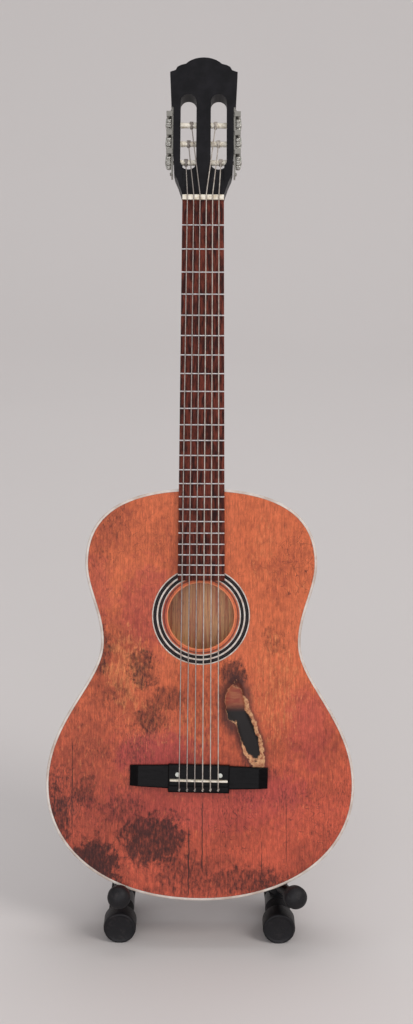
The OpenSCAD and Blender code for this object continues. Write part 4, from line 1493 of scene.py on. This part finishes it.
# ---------------------------------------------------------------- stand
@dataclass(frozen=True)
class FrontLeg:
    """Foot tube that bends up into a leg, with its sleeves, cap, collar and pin.

    Attributes:
        side: side of the stand.
        foot: distance from the middle and height of the foot tube.
        tube: radius of the tube.
        sleeve: outer radius of the sleeves.
        splay: inward lean of the leg, in degrees.
        bend: distance back and radius of the bend.
        climb: lean of the leg in degrees, and its length.
        cap: front, length and radius of the foot cap.
    """

    side: Side
    foot: tuple[float, float] = (22.6, 4.45)
    tube: float = 2.3
    sleeve: float = 3.6
    splay: float = 10.6
    bend: tuple[float, float] = (20.5, 7.0)
    climb: tuple[float, float] = (14.758, 70.0)
    cap: tuple[float, float, float] = (0.7, 6.6, 4.6)

    def path(self, start: float, up: float) -> Array:
        """Axis of the tube from start along the floor to a distance up the leg."""
        y0, r = self.bend
        lean = math.radians(self.climb[0])
        turn = np.linspace(0, math.pi / 2 - lean, 15)
        curve = np.stack([0 * turn, y0 + r * np.sin(turn), r - r * np.cos(turn)], 1)
        rise = np.linspace(0, up, 24)[1:, None]
        leg = curve[-1] + rise * np.array([0, math.sin(lean), math.cos(lean)])
        return np.concatenate([np.linspace([0, start, 0], [0, y0 - 0.3, 0], 8), curve, leg])

    @staticmethod
    def hollow(path: Array, outer: float, inner: float, ease: float) -> Shape:
        """A pipe with softly rounded ends, closed through its bore."""
        step = np.linalg.norm(np.diff(path, axis=0), axis=1)
        run = np.concatenate([[0], np.cumsum(step)])
        fine = np.unique(np.concatenate([run, ease * (1 - np.cos(np.linspace(0, 1.57, 7))),
                                         run[-1] - ease * (1 - np.cos(
                                             np.linspace(0, 1.57, 7)))]))
        path = np.stack([np.interp(fine, run, path[:, k]) for k in range(3)], 1)
        t = np.gradient(path, axis=0)
        t /= np.linalg.norm(t, axis=1, keepdims=True)
        side = np.tile([1.0, 0, 0], (len(t), 1))
        up = np.cross(t, side)
        near = np.clip(np.minimum(fine, fine[-1] - fine) / ease, 0, 1)
        radius = outer - ease + ease * np.sqrt(1 - (1 - near) ** 2)
        a = np.linspace(0, 2 * math.pi, 36, endpoint=False)
        ring = side[:, None] * np.cos(a)[:, None] + up[:, None] * np.sin(a)[:, None]
        skin = path[:, None] + radius[:, None, None] * ring
        bore = (path[:, None] + inner * ring)[::-1]
        return Shape().grid(np.concatenate([skin, bore]), wrap_rows=True)

    def cup(self) -> Shape:
        """The rubber foot: a rounded cup, pressed flat where it stands."""
        front, length, r = self.cap
        profile = [(0, 0.3), (3.4, 0.3), (3.75, 0.22), (3.9, 0.06), (4.1, 0.0),
                   (4.35, 0.08), (4.52, 0.3), (r, 0.7), (r, length - 0.5),
                   (r - 0.15, length - 0.12),
                   (r - 0.5, length), (2.5, length)]
        x, height = self.side.value * self.foot[0], self.foot[1]
        return Shape().lathe(profile, 64).moved(lambda p: np.stack(
            [p[:, 0] + x, p[:, 2] + front, np.maximum(p[:, 1] + height, 0)], 1))

    def build(self, stand: Placing, f: Finishes) -> None:
        """Makes the pieces and ties them to the stand."""
        s, word = self.side.value, self.side.word
        a = math.radians(s * self.splay)
        leg = stand.at(s * self.foot[0], 0, self.foot[1]).turned(
            [[math.cos(a), 0, math.sin(a)], [0, 1, 0], [-math.sin(a), 0, math.cos(a)]])
        start, length, _ = self.cap
        tube = Shape().tube(self.path(start + 1.7, self.climb[1]), self.tube, 28)
        settle(tube.build(f"leg_tube_{word}", leg), f.paint, "stand", "stand_tube",
               f"leg_{word}")
        short = self.hollow(np.linspace([0, start + length + 0.1, 0], [0, 13.7, 0], 8),
                            self.sleeve, self.tube + 0.02, 0.5)
        long_path = self.path(self.bend[0] - 0.4, 46)[6:]
        sleeve = self.hollow(long_path, self.sleeve, self.tube + 0.02, 0.6)
        settle(short.add(sleeve).build(f"sleeves_{word}", leg), f.foam, "stand", "sleeve_foam",
               f"leg_sleeve_{word}")
        settle(self.cup().build(f"foot_{word}", stand), f.rubber, "stand", "cap_rubber",
               f"foot_cap_{word}")
        settle(softened(f"arm_collar_{word}", f"collar_{word}", 0.25), f.paint, "stand",
               "stand_tube", f"arm_collar_{word}")
        settle(softened(f"pivot_pin_{word}", f"pin_{word}", 0.1), f.pin, "stand",
               "tuner_metal", f"pivot_pin_{word}")


@dataclass(frozen=True)
class CradleArm:
    """Swivelling arm that carries the guitar's bottom edge.

    Attributes:
        side: side of the stand.
        pivot: place of the arm's root, in the stand's frame.
        turn: outward turn at rest, in degrees.
        lean: rise towards the front, in degrees.
        rod: radius of the bore for the rod.
        sleeve: distance along the arm where the sleeve starts, and its radius.
        cap: the same of the cap.
    """

    side: Side
    pivot: tuple[float, float, float] = (22.6, 17.0, 10.494)
    turn: float = 0.0
    lean: float = 15.0
    rod: float = 1.02
    sleeve: tuple[float, float] = (4.2, 1.6)
    cap: tuple[float, float] = (18.2, 3.25)

    def cushion(self) -> Shape:
        """Sleeve and cap: a turned skin that ends in a dome, with a bore for the rod."""
        s0, r0 = self.sleeve
        s1, r1 = self.cap
        dome = arc((0, s1 + 2.2), 1, 0, 90, 12) * [r1, 1] - [0, s1 + 2.2]
        dome = [(r, s1 + 2.2 + 2.36 * h) for r, h in dome]
        ribs = []
        for k in range(5):
            s = s1 - 3.2 + k * 0.5
            ribs += [(r0, s), (r0 + 0.12, s + 0.12), (r0, s + 0.3)]
        profile = [(r0 - 0.2, s0), (r0, s0 + 0.25)] + ribs + [
            (r0, s1 - 0.3), (r0 + 0.5, s1), (r1 - 0.3, s1), (r1 - 0.06, s1 + 0.12),
            (r1, s1 + 0.4), (r1, s1 + 1.3)] + dome[:-1] + [(0.02, s1 + 4.56)]
        profile = np.array(profile)
        bore = np.array([(0.02, s1 + 1.85), (self.rod, s1 + 1.83), (self.rod, s0)])
        a = np.linspace(0, 2 * math.pi, 48, endpoint=False)
        rows = [np.stack([r * np.cos(a), 0 * a - s, r * np.sin(a)], 1)
                for r, s in np.concatenate([profile, bore])]
        return Shape().grid(np.stack(rows), wrap_rows=True)

    def build(self, stand: Placing, f: Finishes) -> None:
        """Makes the pieces and ties them to the arm's body."""
        word = self.side.word
        a, b = math.radians(self.turn), math.radians(self.lean)
        x, y, z = self.pivot
        flat = np.array([[math.cos(a), math.sin(a), 0], [-math.sin(a), math.cos(a), 0],
                         [0, 0, 1]])
        place = Placing(stand.world(np.array([self.side.value * x, y, z])),
                        tilt_rows(b) @ flat)
        body = f"cradle_arm_{word}"
        settle(softened(f"arm_{word}", f"arm_rod_{word}", 0.12), f.paint, body,
               "stand_tube", f"arm_{word}")
        settle(self.cushion().build(f"arm_cushion_{word}", place), f.rubber, body,
               "cap_rubber", f"arm_cap_{word}")


@dataclass(frozen=True)
class Support:
    """Top block with its pads, and the folding rear leg."""

    def build(self, f: Finishes) -> None:
        """Makes the pieces and ties them to their bodies."""
        for node, name, width, finish, body, slot in (
                ("top_block", "block", 0.6, f.paint, "stand", "stand_tube"),
                ("hinge_pin", "hinge", 0.15, f.pin, "stand", "tuner_metal"),
                ("rest_pad", "pads", 0.5, f.foam, "stand", "sleeve_foam"),
                ("rear_leg", "rear_tube", 0.2, f.paint, "rear_frame", "stand_tube"),
                ("rear_foot_caps", "rear_feet", 0.35, f.rubber, "rear_frame",
                 "cap_rubber")):
            settle(softened(node, name, width, 3), finish, body, slot, node)


# ---------------------------------------------------------------- studio
@dataclass(frozen=True)
class Studio:
    """Camera square to the guitar's face, a pale seamless floor and soft light.

    Attributes:
        distance: from the camera to the guitar's face.
        aim: point of the face that the camera looks at.
        lens: focal length.
        roll: turn of the camera about its axis, in degrees.
    """

    distance: float = 550.0
    aim: tuple[float, float] = (1.4, 109.6)
    lens: float = 68.6
    roll: float = 0.3

    def camera(self, guitar: Placing) -> None:
        """Makes the camera, level with the strings and square to the face."""
        data = bpy.data.cameras.new("camera")
        data.sensor_fit = "VERTICAL"
        data.sensor_height = 36
        data.lens = self.lens
        data.clip_start = 0.01
        camera = bpy.data.objects.new("camera", data)
        right, back, up = (Vector(row) for row in guitar.axes)
        turn = Matrix((right, up, -back)).transposed().to_4x4()
        spin = Matrix.Rotation(math.radians(self.roll), 4, "Z")
        place = guitar.world(np.array([self.aim[0], -self.distance, self.aim[1]]))
        camera.matrix_world = Matrix.Translation(Vector(place)) @ turn @ spin
        bpy.context.scene.collection.objects.link(camera)
        bpy.context.scene.camera = camera

    def floor(self) -> None:
        """A pale floor that curves up into a wall far behind."""
        x = np.linspace(-2.5, 2.5, 11)
        bend = np.radians(np.linspace(0, 90, 16))
        y = np.concatenate([[-2.0, -0.5, 0, 0.4], 0.9 + 0.6 * np.sin(bend), [1.5]])
        z = np.concatenate([[0, 0, 0, 0], 0.6 - 0.6 * np.cos(bend), [3.0]])
        p = np.stack(np.broadcast_arrays(x[None], y[:, None], z[:, None]), -1)
        mesh = bpy.data.meshes.new("floor")
        shape = Shape().grid(p, wrap_cols=False)
        mesh.from_pydata(shape.points[0].tolist(), [], shape.quads[0].tolist())
        mesh.shade_smooth()
        g = Graph("paper")
        coord = g.node("ShaderNodeTexCoord").outputs["Object"]
        tone = g.noise(coord, 3.0, 3, 0.5)
        color = g.mix(tone, linear((201, 197, 196)), linear((206, 202, 201)))
        mesh.materials.append(g.finish(color, 0.9, g.bump(g.noise(coord, 900, 2), 0.05, 0.05),
                                       specular=0.1))
        obj = bpy.data.objects.new("floor", mesh)
        bpy.context.scene.collection.objects.link(obj)

    def lamp(self, name: str, place: tuple[float, float, float], size: float,
             power: float, color: Color) -> None:
        """A square soft light aimed at the middle of the guitar."""
        data = bpy.data.lights.new(name, "AREA")
        data.size = size
        data.energy = power
        data.color = linear(color)[:3]
        lamp = bpy.data.objects.new(name, data)
        lamp.location = place
        aim = Vector((0, 0, 0.1)) - Vector(place)
        lamp.rotation_euler = aim.to_track_quat("-Z", "Y").to_euler()
        bpy.context.scene.collection.objects.link(lamp)

    def build(self, guitar: Placing) -> None:
        """Sets the whole studio up."""
        self.camera(guitar)
        self.floor()
        self.lamp("key", (0.75, -0.75, 1.0), 0.5, 6.4, (255, 250, 247))
        self.lamp("front", (-0.15, -1.2, 0.3), 1.0, 6.8, (250, 251, 255))
        self.lamp("above", (0.1, 0.7, 1.6), 1.3, 12.0, (250, 250, 252))
        world = bpy.data.worlds.new("air")
        bpy.context.scene.world = world
        world.use_nodes = True
        background = world.node_tree.nodes["Background"]
        background.inputs[0].default_value = linear((236, 234, 233))
        background.inputs[1].default_value = 0.56
        bpy.context.scene.view_settings.view_transform = "Standard"
        bpy.context.scene.view_settings.look = "None"


# ---------------------------------------------------------------- assembly
def places(lean: float = 15.0, head_tilt: float = 15.0) -> tuple[Placing, ...]:
    """The frames of the guitar, its headstock, its bridge and the stand.

    Each starts from the CAD box of a part that fixes it: the front binding is lowest
    at the back of its bottom edge, and the left foot cap has the stand's front.
    """
    body = GuitarBody()
    a = math.radians(lean)
    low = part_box("binding_front")[0]
    origin = np.array([0, low.y, low.z + body.plate * MM * math.sin(a)])
    guitar = Placing(origin, tilt_rows(a))
    head = guitar.at(0, -0.4, 198.9).turned(tilt_rows(math.radians(head_tilt)))
    skew = math.radians(1)
    bridge = guitar.at(-0.4, 0, 34.1).turned(
        [[math.cos(skew), 0, -math.sin(skew)], [0, 1, 0],
         [math.sin(skew), 0, math.cos(skew)]])
    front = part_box("foot_cap_left")[0].y - 0.7 * MM
    stand = Placing(np.array([0, front, 0]), np.eye(3))
    return guitar, head, bridge, stand


def main() -> None:
    """Builds the pieces, their finishes and the studio."""
    logging.basicConfig(level=logging.INFO, format="%(name)s: %(message)s")
    guitar, head, bridge, stand = places()
    studio = Studio()
    studio.build(guitar)
    body = GuitarBody()
    finishes = Finishes(guitar, head, stand, body)
    body.build(guitar, finishes)
    Neck().build(guitar, finishes)
    Bridge().build(bridge, finishes)
    Headstock().build(head, finishes)
    for number in range(1, 7):
        place = TunerPlace(number)
        GuitarString(place).build(guitar, head, finishes)
        Tuner(place).build(head, finishes)
    for side in Side:
        FrontLeg(side).build(stand, finishes)
        CradleArm(side, turn=13.0 if side is Side.RIGHT else 0.0).build(stand, finishes)
    Support().build(finishes)


if __name__ == "__main__":
    main()
